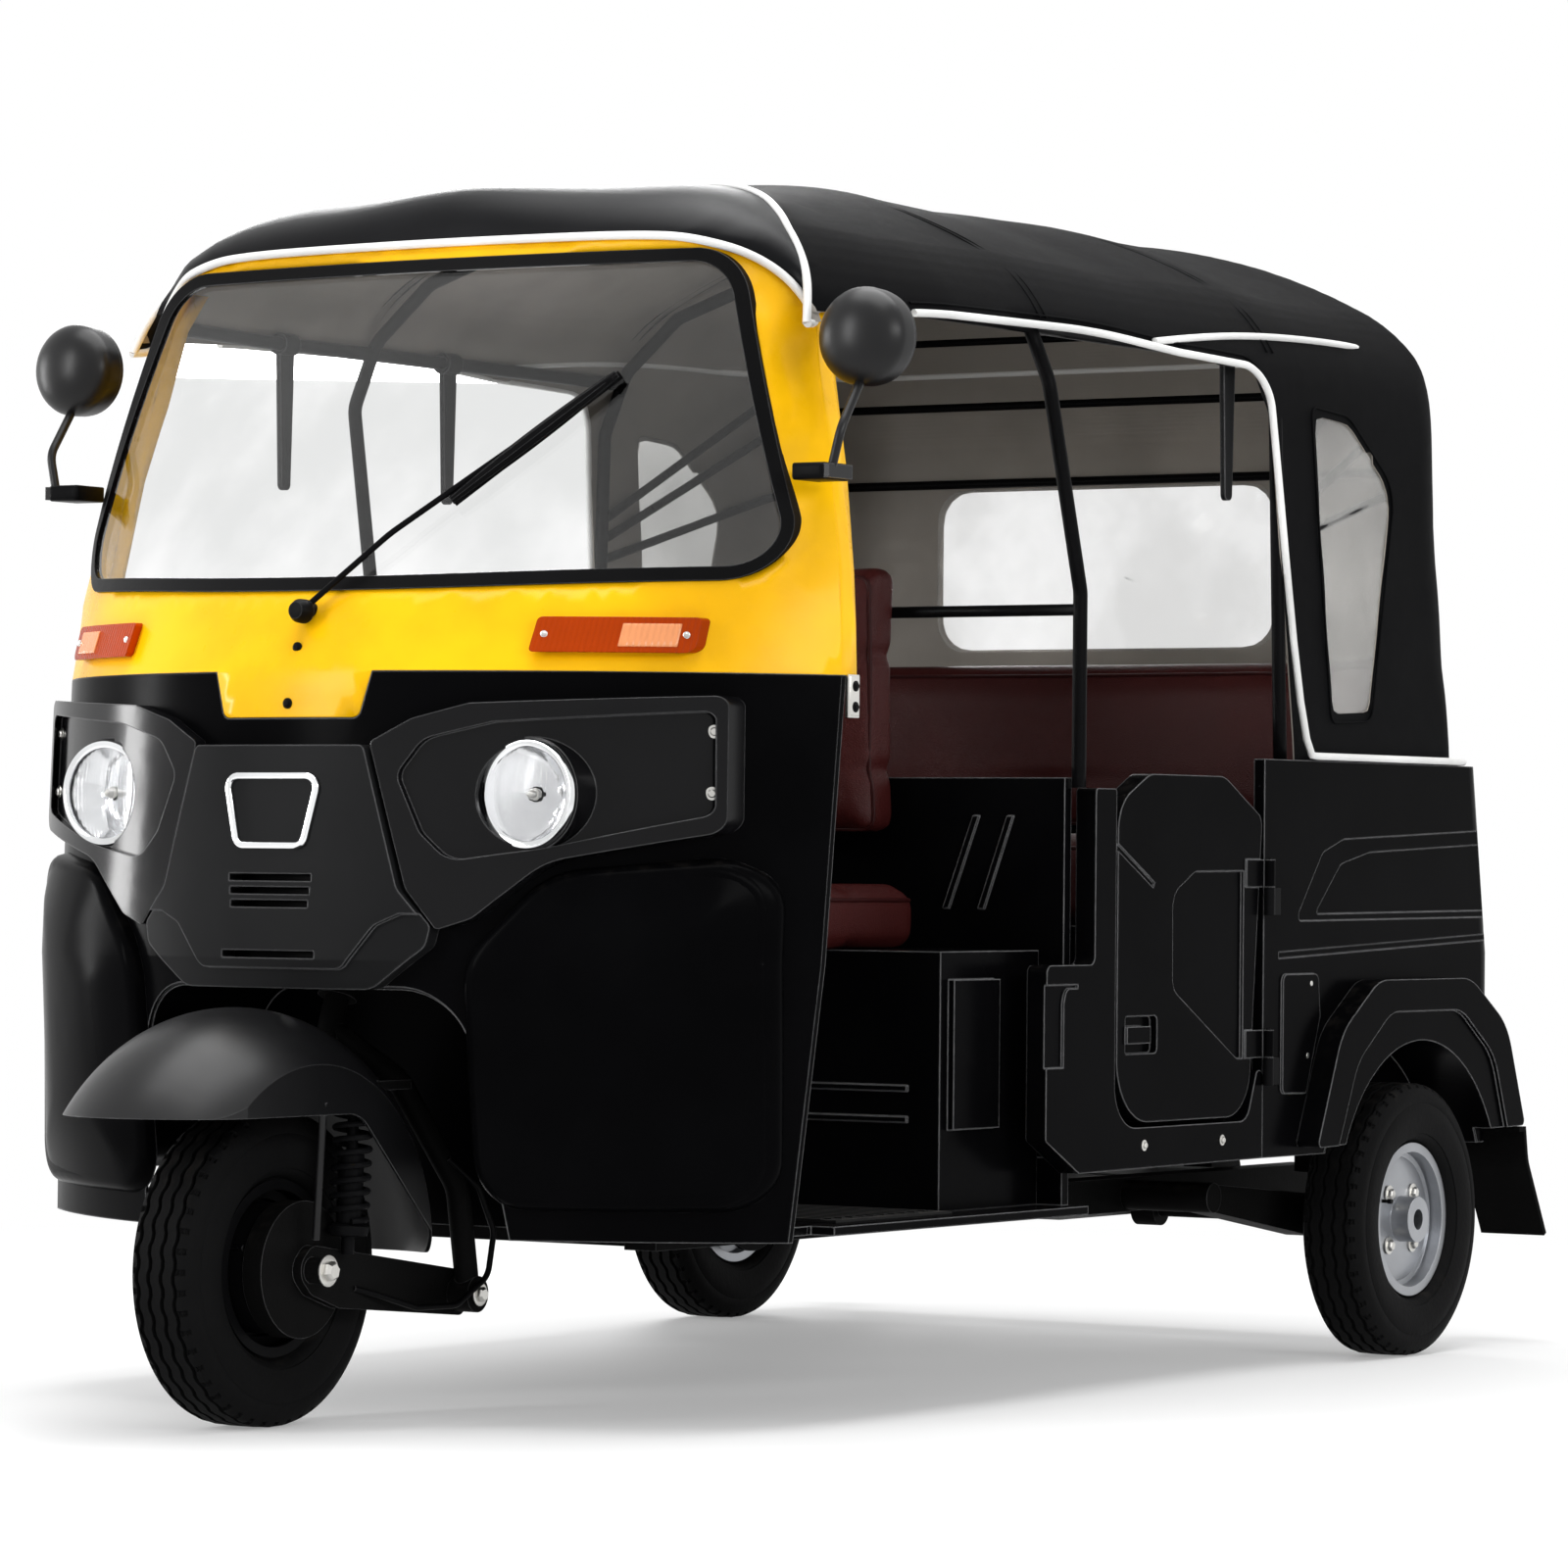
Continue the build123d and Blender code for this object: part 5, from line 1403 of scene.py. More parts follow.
    def seams(self) -> None:
        """Flat sewn seams beside the piping and over each bow."""
        radius = self.seam_radius
        strips = []
        for number, x in enumerate((-989.0, -1640.0)):
            heights = (1478, 1510, 1545, 1583, 1612, 1645, 1675)
            for gap in (-self.seam_gap, self.seam_gap):
                strips.append(tube(f"bow_seam_{number}", self.roof_line(x + gap, x + gap, heights), radius, sides=8))
        for side in (1, -1):
            edge = [p for p in self.opening() if p[1] > self.belt + 14 and p[0] < -460]
            inner = [self.side_point(x - (14 if z < 1400 else 0), z + (14 if z >= 1400 else 0), side, 0.4)
                     for x, z in edge]
            strips.append(tube("hem_seam", inner, radius, sides=8))
            ring = [self.side_point(x + (x + 1862) * 0.09, z + (z - 1180) * 0.06, side, 0.3)
                    for x, z in self.quarter_window()]
            strips.append(tube("pane_seam", ring, radius, closed=True, smooth=False, sides=8))
        settle(join(strips, "hood_seams"), HOOD_CLOTH, self.body)


# ---- windscreen surround
@dataclass
class Surround:
    """Yellow windscreen surround, drawn in towards its top corners, and the brow over it."""

    hood: Hood
    drawn_in: float = 55.0
    drawn_back: float = 38.0
    stations: int = 64
    rounds: int = 12
    proud: float = 0.006
    body: str = "vehicle_body"

    def lip(self) -> list[tuple[float, float]]:
        """Brow's lower edge over the surround.

        Returns:
            Its points as (Y, Z), from the right end to the left.
        """
        half = [(0, 1557), (240, 1556), (330, 1554), (385, 1550), (444, 1536), (474, 1523), (504, 1502), (527, 1476),
                (542, 1452), (549, 1434)]
        return [(-y, z) for y, z in reversed(half[1:])] + half

    def share(self, y: float, z: float) -> float:
        """How much of the drawing-in a place of the surround takes.

        Args:
            y: Half width in millimetres, before it moves.
            z: Height in millimetres.

        Returns:
            From 0, left where it is, to 1 at the top corners.
        """
        up = float(np.interp(z, (1080.0, 1237.0, 1369.0, 1440.0), (0.0, 0.33, 0.85, 1.0)))
        inner = float(np.interp(z, (1090.0, 1266.0, 1429.0, 1518.0), (556.0, 540.0, 494.0, 400.0)))
        out = min(max((abs(y) - inner) / (600.0 - inner), 0.0), 1.0)
        return up * out * out * (3.0 - 2.0 * out)

    def on_face(self, y: float, z: float, lift: float) -> Vector:
        """Point on the drawn-in face.

        Args:
            y: Half width in millimetres, after the move.
            z: Height in millimetres.
            lift: How far in front of it, in metres.

        Returns:
            The point in the row frame.
        """
        before = y
        for _ in range(12):
            before = y + math.copysign(self.drawn_in * self.share(before, z), y)
        place = front_skin(before, z, lift)
        place.x -= self.drawn_back * self.share(before, z) * MM
        place.y = y * MM
        return place

    def build(self, node: Piece) -> None:
        """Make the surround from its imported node, then the brow and its piping.

        Args:
            node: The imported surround.
        """
        piece, form = refined_copy(node, "windscreen_frame")
        for vertex in form.verts:
            y, z = vertex.co.y / MM, vertex.co.z / MM
            amount = self.share(y, z)
            vertex.co.x -= self.drawn_back * amount * MM
            vertex.co.y -= math.copysign(self.drawn_in * amount * MM, y)
        self.tuck(form)
        form.to_mesh(piece.data)
        form.free()
        settle(piece, YELLOW, self.body)
        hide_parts("windscreen_surround")
        self.brow()
        self.mirror_clamps()

    def tuck(self, form: Form) -> None:
        """Draw what stands beyond the brow's lip back under it.

        Args:
            form: The surround's open mesh.
        """
        outline = np.array([(-549.0, 900.0), *self.lip(), (549.0, 900.0)])
        high = [v for v in form.verts if v.co.z > 1380 * MM]
        places = np.array([(v.co.y, v.co.z) for v in high]) / MM
        near, distance = nearest_on(outline, places)
        within = holds(outline, places)
        for vertex, spot, away, inner in zip(high, near, distance, within):
            if inner or away < 4.0:
                continue
            vertex.co.y = spot[0] * MM + (vertex.co.y - spot[0] * MM) * 4.0 / away
            vertex.co.z = spot[1] * MM + (vertex.co.z - spot[1] * MM) * 4.0 / away
            vertex.co.x -= 0.4 * (away - 4.0) * MM

    def brow(self) -> None:
        """Bulging skin lofted from the surround's top edge to the hood's front edge, with piping along its lip."""
        lower = resample([self.on_face(y, z, self.proud) for y, z in self.lip()], self.stations)
        upper = self.hood.front_line(self.stations, 0.6)
        grid = Shaper("brow_skin", Primitive.GRID, at(-450, 0, 1550), (0.3, 1.0, 1.0), x_subdivisions=self.stations,
                      y_subdivisions=self.rounds)
        middle = at(-520, 0, 1440)
        for column, (low, high) in enumerate(zip(lower, upper)):
            span = (high - low).length
            radial = Vector((0.0, low.y, low.z - middle.z))
            flank = min(1.0, abs(low.y) / 0.55) ** 6
            out = (radial.normalized() * (1 - 0.5 * flank) + Vector((-0.18, 0, 0))).normalized()
            first = low + out * span * (0.37 - 0.12 * flank)
            second = high + Vector((1.0, 0.0, -0.02 * (1 - flank))) * span * (0.62 - 0.30 * flank)
            for row in range(self.rounds + 1):
                t = row / self.rounds
                s = 1 - t
                place = low * s ** 3 + first * 3 * t * s ** 2 + second * 3 * t * t * s + high * t ** 3
                grid.piece.data.vertices[row * (self.stations + 1) + column].co = place
        grid.piece.data.update()
        face_out(grid.piece, at(-600, 0, 1350))
        thicken(grid.piece, 0.003)
        settle(grid.piece, BROW_VINYL, self.body)
        line_inside(grid.piece, HOOD_LINING)
        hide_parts("roof_brow")
        ends = self.hood.front_line(self.stations, 3.0)
        lip = [self.on_face(y, z - 3.0, self.proud + 0.002) for y, z in self.lip()]
        settle(tube("screen_piping", [ends[0], *lip, ends[-1]], 0.0058, sides=12), PIPING, self.body)

    def mirror_clamps(self) -> None:
        """Clamp that holds each mirror's foot to the surround's edge."""
        for side, word in SIDES:
            clamp = Shaper(f"mirror_clamp_{word}", Primitive.BOX, at(-376, side * 612, 1232), (0.060, 0.050, 0.022))
            clamp.pick(lambda c, n: n.x > 0.9).inset(0.004, 0.003)
            clamp.bevel(0.003)
            clamp.finish(BLACK_STEEL, self.body)


# ---- seats
@dataclass(frozen=True)
class Pad:
    """One cushion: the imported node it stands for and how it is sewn."""

    node: str
    corner: float
    cap: float
    seam_axis: int
    seams: tuple[float, ...]
    fill: float
    voxel: float


@dataclass
class Seats:
    """Driver's and passengers' seats in sewn vinyl."""

    pads: tuple[Pad, ...] = (
        Pad("driver_cushion", 0.020, 0.014, 1, (0.0,), 0.7, 0.0085),
        Pad("driver_backrest", 0.022, 0.012, 2, (0.86, 1.02), 0.7, 0.0085),
        Pad("passenger_cushion", 0.024, 0.016, 1, (-0.2, 0.2), 0.75, 0.0105),
        Pad("passenger_backrest", 0.022, 0.012, 2, (0.862,), 0.75, 0.0105),
    )
    seam_spread: float = 0.010
    seam_depth: float = 0.007
    proud: float = 0.006
    piping_radius: float = 0.0032
    body: str = "vehicle_body"

    def build(self) -> None:
        """Make every pad with its seams and piping."""
        for pad in self.pads:
            self.make(pad)

    def form(self, pad: Pad, low: Vector, high: Vector) -> Piece:
        """Rounded block a little smaller than the pad's solid.

        Args:
            pad: The pad.
            low: Lowest corner of its solid.
            high: Highest corner of its solid.

        Returns:
            The block, meshed evenly.
        """
        shrink = Vector((0.004, 0.004, 0.004))
        centre, size = (low + high) / 2, high - low - 2 * shrink
        block = Shaper(f"{pad.node}_pad", Primitive.BOX, centre, tuple(size))
        if pad.node.endswith("backrest"):
            lean = 0.22 * size.x
            for vertex in block.piece.data.vertices:
                front = vertex.co.x > centre.x
                upper = vertex.co.z > centre.z
                vertex.co.x -= lean if front and upper else 0.0
        block.modifier("BEVEL", width=pad.corner, segments=4, limit_method="NONE")
        return block.modifier("REMESH", mode="VOXEL", voxel_size=pad.voxel, use_smooth_shade=True).piece

    def inflate(self, piece: Piece, cap: float) -> None:
        """Blow the pad up gently as cloth, with each point's travel capped.

        Args:
            piece: The pad.
            cap: Furthest that a point may move, in metres.
        """
        rest = [v.co.copy() for v in piece.data.vertices]
        cloth = piece.modifiers.new("cloth", "CLOTH")
        cloth.settings.quality = 4
        cloth.settings.mass = 0.3
        cloth.settings.use_pressure = True
        cloth.settings.uniform_pressure_force = 4.0
        cloth.settings.tension_stiffness = 12.0
        cloth.settings.bending_stiffness = 0.6
        cloth.settings.effector_weights.gravity = 0.0
        for frame in range(1, 19):
            bpy.context.scene.frame_set(frame)
        depsgraph = bpy.context.evaluated_depsgraph_get()
        swollen = [v.co.copy() for v in piece.evaluated_get(depsgraph).data.vertices]
        piece.modifiers.remove(cloth)
        bpy.context.scene.frame_set(1)
        for vertex, before, after in zip(piece.data.vertices, rest, swollen):
            travel = after - before
            if travel.length > cap:
                travel *= cap / travel.length
            vertex.co = before + travel

    def sew(self, piece: Piece, pad: Pad, low: Vector, high: Vector) -> None:
        """Pull the cover in along each seam and keep it inside its space.

        Args:
            piece: The pad.
            pad: How it is sewn.
            low: Lowest corner of its solid.
            high: Highest corner of its solid.
        """
        middle = (low + high) / 2
        for vertex in piece.data.vertices:
            offsets = [(vertex.co[pad.seam_axis] - seam) / self.seam_spread for seam in pad.seams]
            pull = max((math.exp(-(offset ** 2)) for offset in offsets), default=0.0)
            inward = middle - vertex.co
            inward[pad.seam_axis] = 0.0
            if inward.length > 1e-6:
                vertex.co += inward.normalized() * self.seam_depth * pull
            for axis in range(3):
                room = -0.0008 if axis == 2 and pad.node.endswith("cushion") else self.proud
                floor = low[axis] - (room if axis != 2 else -0.0004)
                vertex.co[axis] = min(max(vertex.co[axis], floor), high[axis] + self.proud)

    def make(self, pad: Pad) -> None:
        """Args:
            pad: The pad to make.
        """
        low, high = (Vector(p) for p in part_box(pad.node))
        piece = self.form(pad, low, high)
        self.inflate(piece, pad.cap)
        self.sew(piece, pad, low, high)
        apply_modifier(piece, "SUBSURF", levels=1, render_levels=1)
        settle(piece, SEAT_VINYL, self.body)
        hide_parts(pad.node)
        self.edge_piping(piece, pad, low, high)

    def edge_piping(self, piece: Piece, pad: Pad, low: Vector, high: Vector) -> None:
        """Piping sewn round the pad's face, laid on its cover.

        Args:
            piece: The finished pad.
            pad: Its description.
            low: Lowest corner of its solid.
            high: Highest corner of its solid.
        """
        rise = pad.node.endswith("cushion")
        middle = (low + high) / 2
        route = []
        count = 96
        for i in range(count):
            angle = 2 * math.pi * i / count
            away = Vector((0.0, 0.0, 0.0))
            across = (0, 1) if rise else (1, 2)
            half = [(high[a] - low[a]) / 2 - 0.004 for a in across]
            power = 0.22
            for axis, extent, value in zip(across, half, (math.cos(angle), math.sin(angle))):
                away[axis] = extent * math.copysign(abs(value) ** power, value)
            start = middle + away * 1.4
            start[2 if rise else 0] = high[2 if rise else 0] - (0.016 if rise else 0.020)
            inner = Vector(start)
            for axis in across:
                inner[axis] = middle[axis]
            hit, place, _, _ = piece.ray_cast(start, (inner - start).normalized())
            if hit:
                route.append(place)
        if len(route) > 20:
            cord = tube(f"{pad.node}_piping", route, self.piping_radius, closed=True, sides=8)
            settle(cord, SEAT_PIPING, self.body)


# ---- wheels
@dataclass
class Wheel:
    """Tyre with its tread and sidewall, and the fastenings of its rim."""

    place: Vector
    body: str
    tyre_node: str
    outward: int
    silver: bool
    radius: float = 0.204
    half_width: float = 0.0506
    bead_radius: float = 0.1062
    tread_floor: float = 0.1965
    nut_circle: float = 0.054
    steps: int = 144

    def profile(self) -> list[tuple[float, float]]:
        """Section of the tyre with its grooves.

        Returns:
            Its corners as (along the axle, radius).
        """
        half, top = self.half_width, self.radius
        bead = 0.0283
        wall = [(bead, self.bead_radius), (bead + 0.0003, 0.1165), (0.0395, 0.1205), (0.0448, 0.1275), (0.0452, 0.1290),
                (0.0470, 0.1292), (0.0492, 0.1400), (half, 0.1530), (half, 0.1600), (0.0497, 0.1720), (0.0488, 0.1735),
                (0.0493, 0.1745), (0.0478, 0.1850), (0.0452, 0.1920), (0.0425, 0.1962)]
        grooves = []
        for middle, width, depth in ((0.0290, 0.0050, 0.0052), (0.0098, 0.0050, 0.0056)):
            sag = 0.9 * middle * middle
            crown = top - sag
            grooves += [(middle + width / 2 + 0.0006, crown), (middle + width / 2 - 0.0006, crown - depth),
                        (middle - width / 2 + 0.0006, crown - depth), (middle - width / 2 - 0.0006, crown)]
        outer = wall + [(0.0385, top - 0.0026)] + grooves
        return outer + [(-u, v) for u, v in reversed(outer)]

    def zigzag(self, along: float, radius: float, step: int) -> tuple[float, float]:
        """Shift the groove walls from side to side round the tread.

        Args:
            along: Distance along the axle.
            radius: Distance from it.
            step: Which step round the wheel.

        Returns:
            The new distance along the axle and the new radius.
        """
        if radius < self.tread_floor or abs(along) > 0.034:
            return along, radius
        wave = 0.0016 * (1.0 if step % 4 < 2 else -1.0)
        return along + wave, radius

    def build(self) -> None:
        """Make the tyre and the rim's fastenings."""
        tyre = lathe(f"{self.tyre_node}_tread", self.profile(), self.place, Vector((0, 1, 0)), self.steps, self.zigzag)
        self.cut_sipes(tyre)
        settle(tyre, TYRE_RUBBER, self.body)
        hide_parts(self.tyre_node)
        self.fastenings()
        self.valve()

    def cut_sipes(self, tyre: Piece) -> None:
        """Notch both shoulders of the tread at every third step.

        Args:
            tyre: The spun tyre.
        """
        rest_hands()
        tyre.select_set(True)
        bpy.context.view_layer.objects.active = tyre
        shaper = Shaper.__new__(Shaper)
        shaper.piece = tyre

        def shoulder(centre: Vector, normal: Vector) -> bool:
            """Pick the shoulder faces that get a notch.

            Args:
                centre: Middle of the face.
                normal: Its direction, which the pick leaves out.

            Returns:
                True for such a face.
            """
            offset = centre - self.place
            angle = math.atan2(offset.z, offset.x)
            step = int((angle + math.pi) / (2 * math.pi) * self.steps + 0.01)
            high = math.hypot(offset.x, offset.z) > self.tread_floor
            return high and 0.0325 < abs(offset.y) < 0.0450 and step % 3 == 0

        shaper.pick(shoulder)
        bpy.ops.mesh.inset(thickness=0.0022, depth=-0.0028, use_individual=True)
        rest_hands()

    def fastenings(self) -> None:
        """Nuts on the rim's dish and a nut on the axle's end."""
        out = Vector((0, self.outward, 0))
        finish = ZINC if self.silver else BLACK_STEEL
        face = 0.0175 if self.silver else 0.013
        nuts = []
        for i in range(4):
            angle = math.radians(45 + 90 * i)
            spot = self.place + Vector((math.cos(angle), 0, math.sin(angle))) * self.nut_circle + out * face
            nuts.append((spot, out))
        hex_bolts(f"{self.body}_nuts", nuts, 0.017, finish, self.body)

    def valve(self) -> None:
        """Tyre valve standing out of the rim's bed."""
        out = Vector((0, self.outward, 0))
        root = self.place + Vector((0.080, 0, 0.030)) + out * 0.012
        stem = lathe(f"{self.body}_valve", [(0, 0), (0, 0.005), (0.012, 0.004), (0.014, 0.0026), (0.024, 0.0026),
                                            (0.025, 0.0036), (0.032, 0.0036), (0.033, 0)], root, out, 14)
        settle(stem, SEAL_RUBBER, self.body)


# ---- lamps and mirrors
@dataclass
class Lamps:
    """Head lamps with stepped reflectors, and the marker lamps' pale cells and screws."""

    markers: Piece
    centre: Point = (-100.0, 343.0, 814.0)
    lens_radius: float = 0.0655
    dome: float = 0.014
    cell_span: tuple[float, float] = (427.0, 490.0)
    cell_rise: tuple[float, float] = (1004.0, 1034.0)
    marker_screw_places: tuple[float, float] = (340.0, 496.0)
    bezel_screw_heights: tuple[float, float] = (896.0, 817.0)
    body: str = "vehicle_body"

    def build(self) -> None:
        """Make both head lamps and dress the marker lamps."""
        x, y, z = self.centre
        for side, word in SIDES:
            middle = at(x, side * y, z)
            self.lens(word, middle)
            self.reflector(word, middle)
            self.rim(word, middle)
            self.bulb(word, middle)
        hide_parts("headlamps")
        self.marker_screws()

    def lens(self, word: str, middle: Vector) -> Piece:
        """Clear domed cover of one lamp.

        Args:
            word: Side of the vehicle.
            middle: Foremost point of the lens.

        Returns:
            The cover.
        """
        radius = (self.lens_radius ** 2 + self.dome ** 2) / (2 * self.dome)
        outer, inner = [], []
        for i in range(13):
            r = self.lens_radius * i / 12
            drop = radius - math.sqrt(radius ** 2 - r * r)
            outer.append((-drop, r))
            inner.append((-drop - 0.003, r))
        profile = outer + [(-0.030, self.lens_radius), (-0.030, self.lens_radius - 0.003)] + inner[:-1][::-1]
        cover = lathe(f"headlamp_lens_{word}", profile, middle, Vector((1, 0, 0)), 64)
        return settle(cover, LAMP_COVER, self.body)

    def reflector(self, word: str, middle: Vector) -> None:
        """Bright bowl with stepped facets.

        Args:
            word: Side of the vehicle.
            middle: Foremost point of the lens.
        """
        steps = 48
        bowl = []
        for i in range(9):
            r = 0.010 + 0.0515 * i / 8
            bowl.append((-0.052 + 8.2 * r * r, r))
        back = [(a - 0.004, r) for a, r in reversed(bowl)]

        def facets(along: float, radius: float, step: int) -> tuple[float, float]:
            """Step the bowl in and out round the lamp."""
            lift = 0.0016 if step % 6 < 3 else -0.0004
            return along + lift * (radius / 0.06), radius

        piece = lathe(f"headlamp_reflector_{word}", bowl + back, middle, Vector((1, 0, 0)), steps, facets)
        for vertex in piece.data.vertices:
            offset = vertex.co - middle
            r = math.hypot(offset.y, offset.z)
            front = offset.x > -0.0533 + 8.2 * r * r
            skin = front_skin(vertex.co.y / MM, vertex.co.z / MM, 0.004 if front else 0.0015)
            vertex.co.x = max(vertex.co.x, skin.x)
        settle(piece, REFLECTOR, self.body)

    def rim(self, word: str, middle: Vector) -> None:
        """Slim bright ring round the lens.

        Args:
            word: Side of the vehicle.
            middle: Foremost point of the lens.
        """
        r = self.lens_radius
        ring = lathe(f"headlamp_ring_{word}", [(-0.030, r + 0.0002), (-0.030, r + 0.0042), (-0.0110, r + 0.0048),
                                               (-0.0075, r + 0.0034), (-0.0072, r - 0.0020), (-0.0090, r - 0.0050),
                                               (-0.0118, r - 0.0050), (-0.0125, r + 0.0002)], middle,
                     Vector((1, 0, 0)), 64)
        settle(ring, CHROME, self.body)

    def bulb(self, word: str, middle: Vector) -> None:
        """Bulb with its cap shield in the middle of the bowl.

        Args:
            word: Side of the vehicle.
            middle: Foremost point of the lens.
        """
        profile = [(-0.030, 0.0), (-0.030, 0.008), (-0.026, 0.008), (-0.024, 0.0055), (-0.018, 0.0055),
                   (-0.014, 0.0035), (-0.012, 0.0)]
        bulb = lathe(f"headlamp_bulb_{word}", profile, middle, Vector((1, 0, 0)), 24)
        settle(bulb, ZINC, self.body)

    def pale_cell(self, side: int, word: str) -> None:
        """Lighter outer cell of a front marker lamp.

        Args:
            side: 1 on the left, -1 on the right.
            word: Side of the vehicle.
        """
        span = side * self.cell_span[0], side * self.cell_span[1]
        cell = skin_patch(f"marker_cell_{word}", span, self.cell_rise, lambda y, z: self.on_marker(y, z, 0.0016),
                          0.0045)
        settle(cell, PALE_AMBER, self.body)

    def on_marker(self, y: float, z: float, proud: float) -> Vector:
        """Place in front of the marker lenses at a half width and a height.

        Args:
            y: Half width in millimetres.
            z: Height in millimetres.
            proud: How far in front, in metres.

        Returns:
            The point in the row frame.
        """
        hit, place, _, _ = self.markers.ray_cast(at(400, y, z), Vector((-1, 0, 0)))
        return (place if hit else front_skin(y, z, 0.014)) + Vector((proud, 0, 0))

    def marker_screws(self) -> None:
        """Two screws in each front marker lens and each bezel."""
        screws, bezel = [], []
        for side in (1, -1):
            for y in self.marker_screw_places:
                screws.append((self.on_marker(side * y, 1019.0, 0.0), Vector((1, 0.5 * side, 0))))
            for z in self.bezel_screw_heights:
                bezel.append((front_skin(side * 533.0, z, 0.0223), Vector((1, 0.62 * side, 0))))
            self.pale_cell(side, "left" if side > 0 else "right")
        hex_bolts("marker_screws", screws, 0.006, ZINC, self.body, domed=True)
        hex_bolts("bezel_screws", bezel, 0.011, ZINC, self.body, domed=True)


def skin_patch(name: str, span: tuple[float, float], rise: tuple[float, float],
               spot: Callable[[float, float], Vector], thickness: float) -> Piece:
    """Plate that follows the bowed front between two half widths and two heights.

    Args:
        name: Name of the plate.
        span: Y of its two ends in millimetres.
        rise: Heights of its lower and upper edges in millimetres.
        spot: Turns a half width and a height into a place of its outside.
        thickness: Its thickness in metres.

    Returns:
        The plate, rounded at its edges.
    """
    columns, rows = 12, 4
    grid = Shaper(name, Primitive.GRID, at(0, 0, 0), (1.0, 1.0, 1.0), x_subdivisions=columns, y_subdivisions=rows)
    for row in range(rows + 1):
        for column in range(columns + 1):
            y = span[0] + (span[1] - span[0]) * column / columns
            z = rise[0] + (rise[1] - rise[0]) * row / rows
            grid.piece.data.vertices[row * (columns + 1) + column].co = spot(y, z)
    grid.piece.data.update()
    face_out(grid.piece, at(-1500, 0, (rise[0] + rise[1]) / 2))
    grid.modifier("SOLIDIFY", thickness=thickness, offset=-1.0)
    return grid.bevel(min(0.0012, 0.3 * thickness)).piece


def front_skin(y: float, z: float, proud: float) -> Vector:
    """Point on the bowed front of the cab.

    Args:
        y: Half width in millimetres.
        z: Height in millimetres.
        proud: How far in front of the skin, in metres.

    Returns:
        The point in the row frame.
    """
    heights = (243.0, 600.0, 970.0, 1560.0)
    nose = float(np.interp(z, heights, (-95.0, -45.0, -60.0, -386.0)))
    edge = float(np.interp(z, heights, (-335.0, -368.0, -400.0, -440.0)))
    half = float(np.interp(z, heights, (600.0, 625.0, 632.0, 590.0)))
    sag = nose - edge
    bow = (half ** 2 + sag ** 2) / (2 * sag)
    x = nose - (bow - math.sqrt(bow ** 2 - y ** 2))
    return at(x, y, z) + Vector((proud, 0, 0))


@dataclass
class Mirrors:
    """Glass, rims and domed shells of the round mirrors."""

    centre: Point = (-430.0, 650.0, 1408.0)
    body: str = "vehicle_body"

    def build(self) -> None:
        """Make the glass and its rim on both sides."""
        x, y, z = self.centre
        for side, word in SIDES:
            seat = at(x - 13, side * y, z)
            glass = lathe(f"mirror_glass_{word}", [(0.0, 0.0), (0.0, 0.056), (0.0022, 0.056), (0.0026, 0.05),
                                                   (0.0030, 0.0)], seat, Vector((-1, 0, 0)), 48)
            settle(glass, MIRROR_GLASS, self.body)
            rim = lathe(f"mirror_rim_{word}", [(-0.002, 0.0565), (-0.002, 0.0618), (0.003, 0.0618), (0.0042, 0.0595),
                                               (0.003, 0.0565)], seat, Vector((-1, 0, 0)), 48)
            settle(rim, MUDGUARD_PLASTIC, self.body)
            self.shell(word, at(x + 13, side * y, z))

    def shell(self, word: str, seat: Vector) -> None:
        """Domed back of one mirror.

        Args:
            word: Side of the vehicle.
            seat: Middle of the housing's front edge.
        """
        dome = [(0.0385 * math.sin(a), 0.0642 * math.cos(a)) for a in (math.pi / 2 * i / 10 for i in range(11))]
        outer = [(-0.022, 0.0632), *dome[:-1], (0.0385, 0.0)]
        inner = [(u - 0.0012, max(v - 0.0012, 0.0)) for u, v in reversed(outer[:-1])]
        back = lathe(f"mirror_shell_{word}", outer + [(0.0373, 0.0)] + inner, seat, Vector((1, 0, 0)), 56)
        settle(back, MUDGUARD_PLASTIC, self.body)


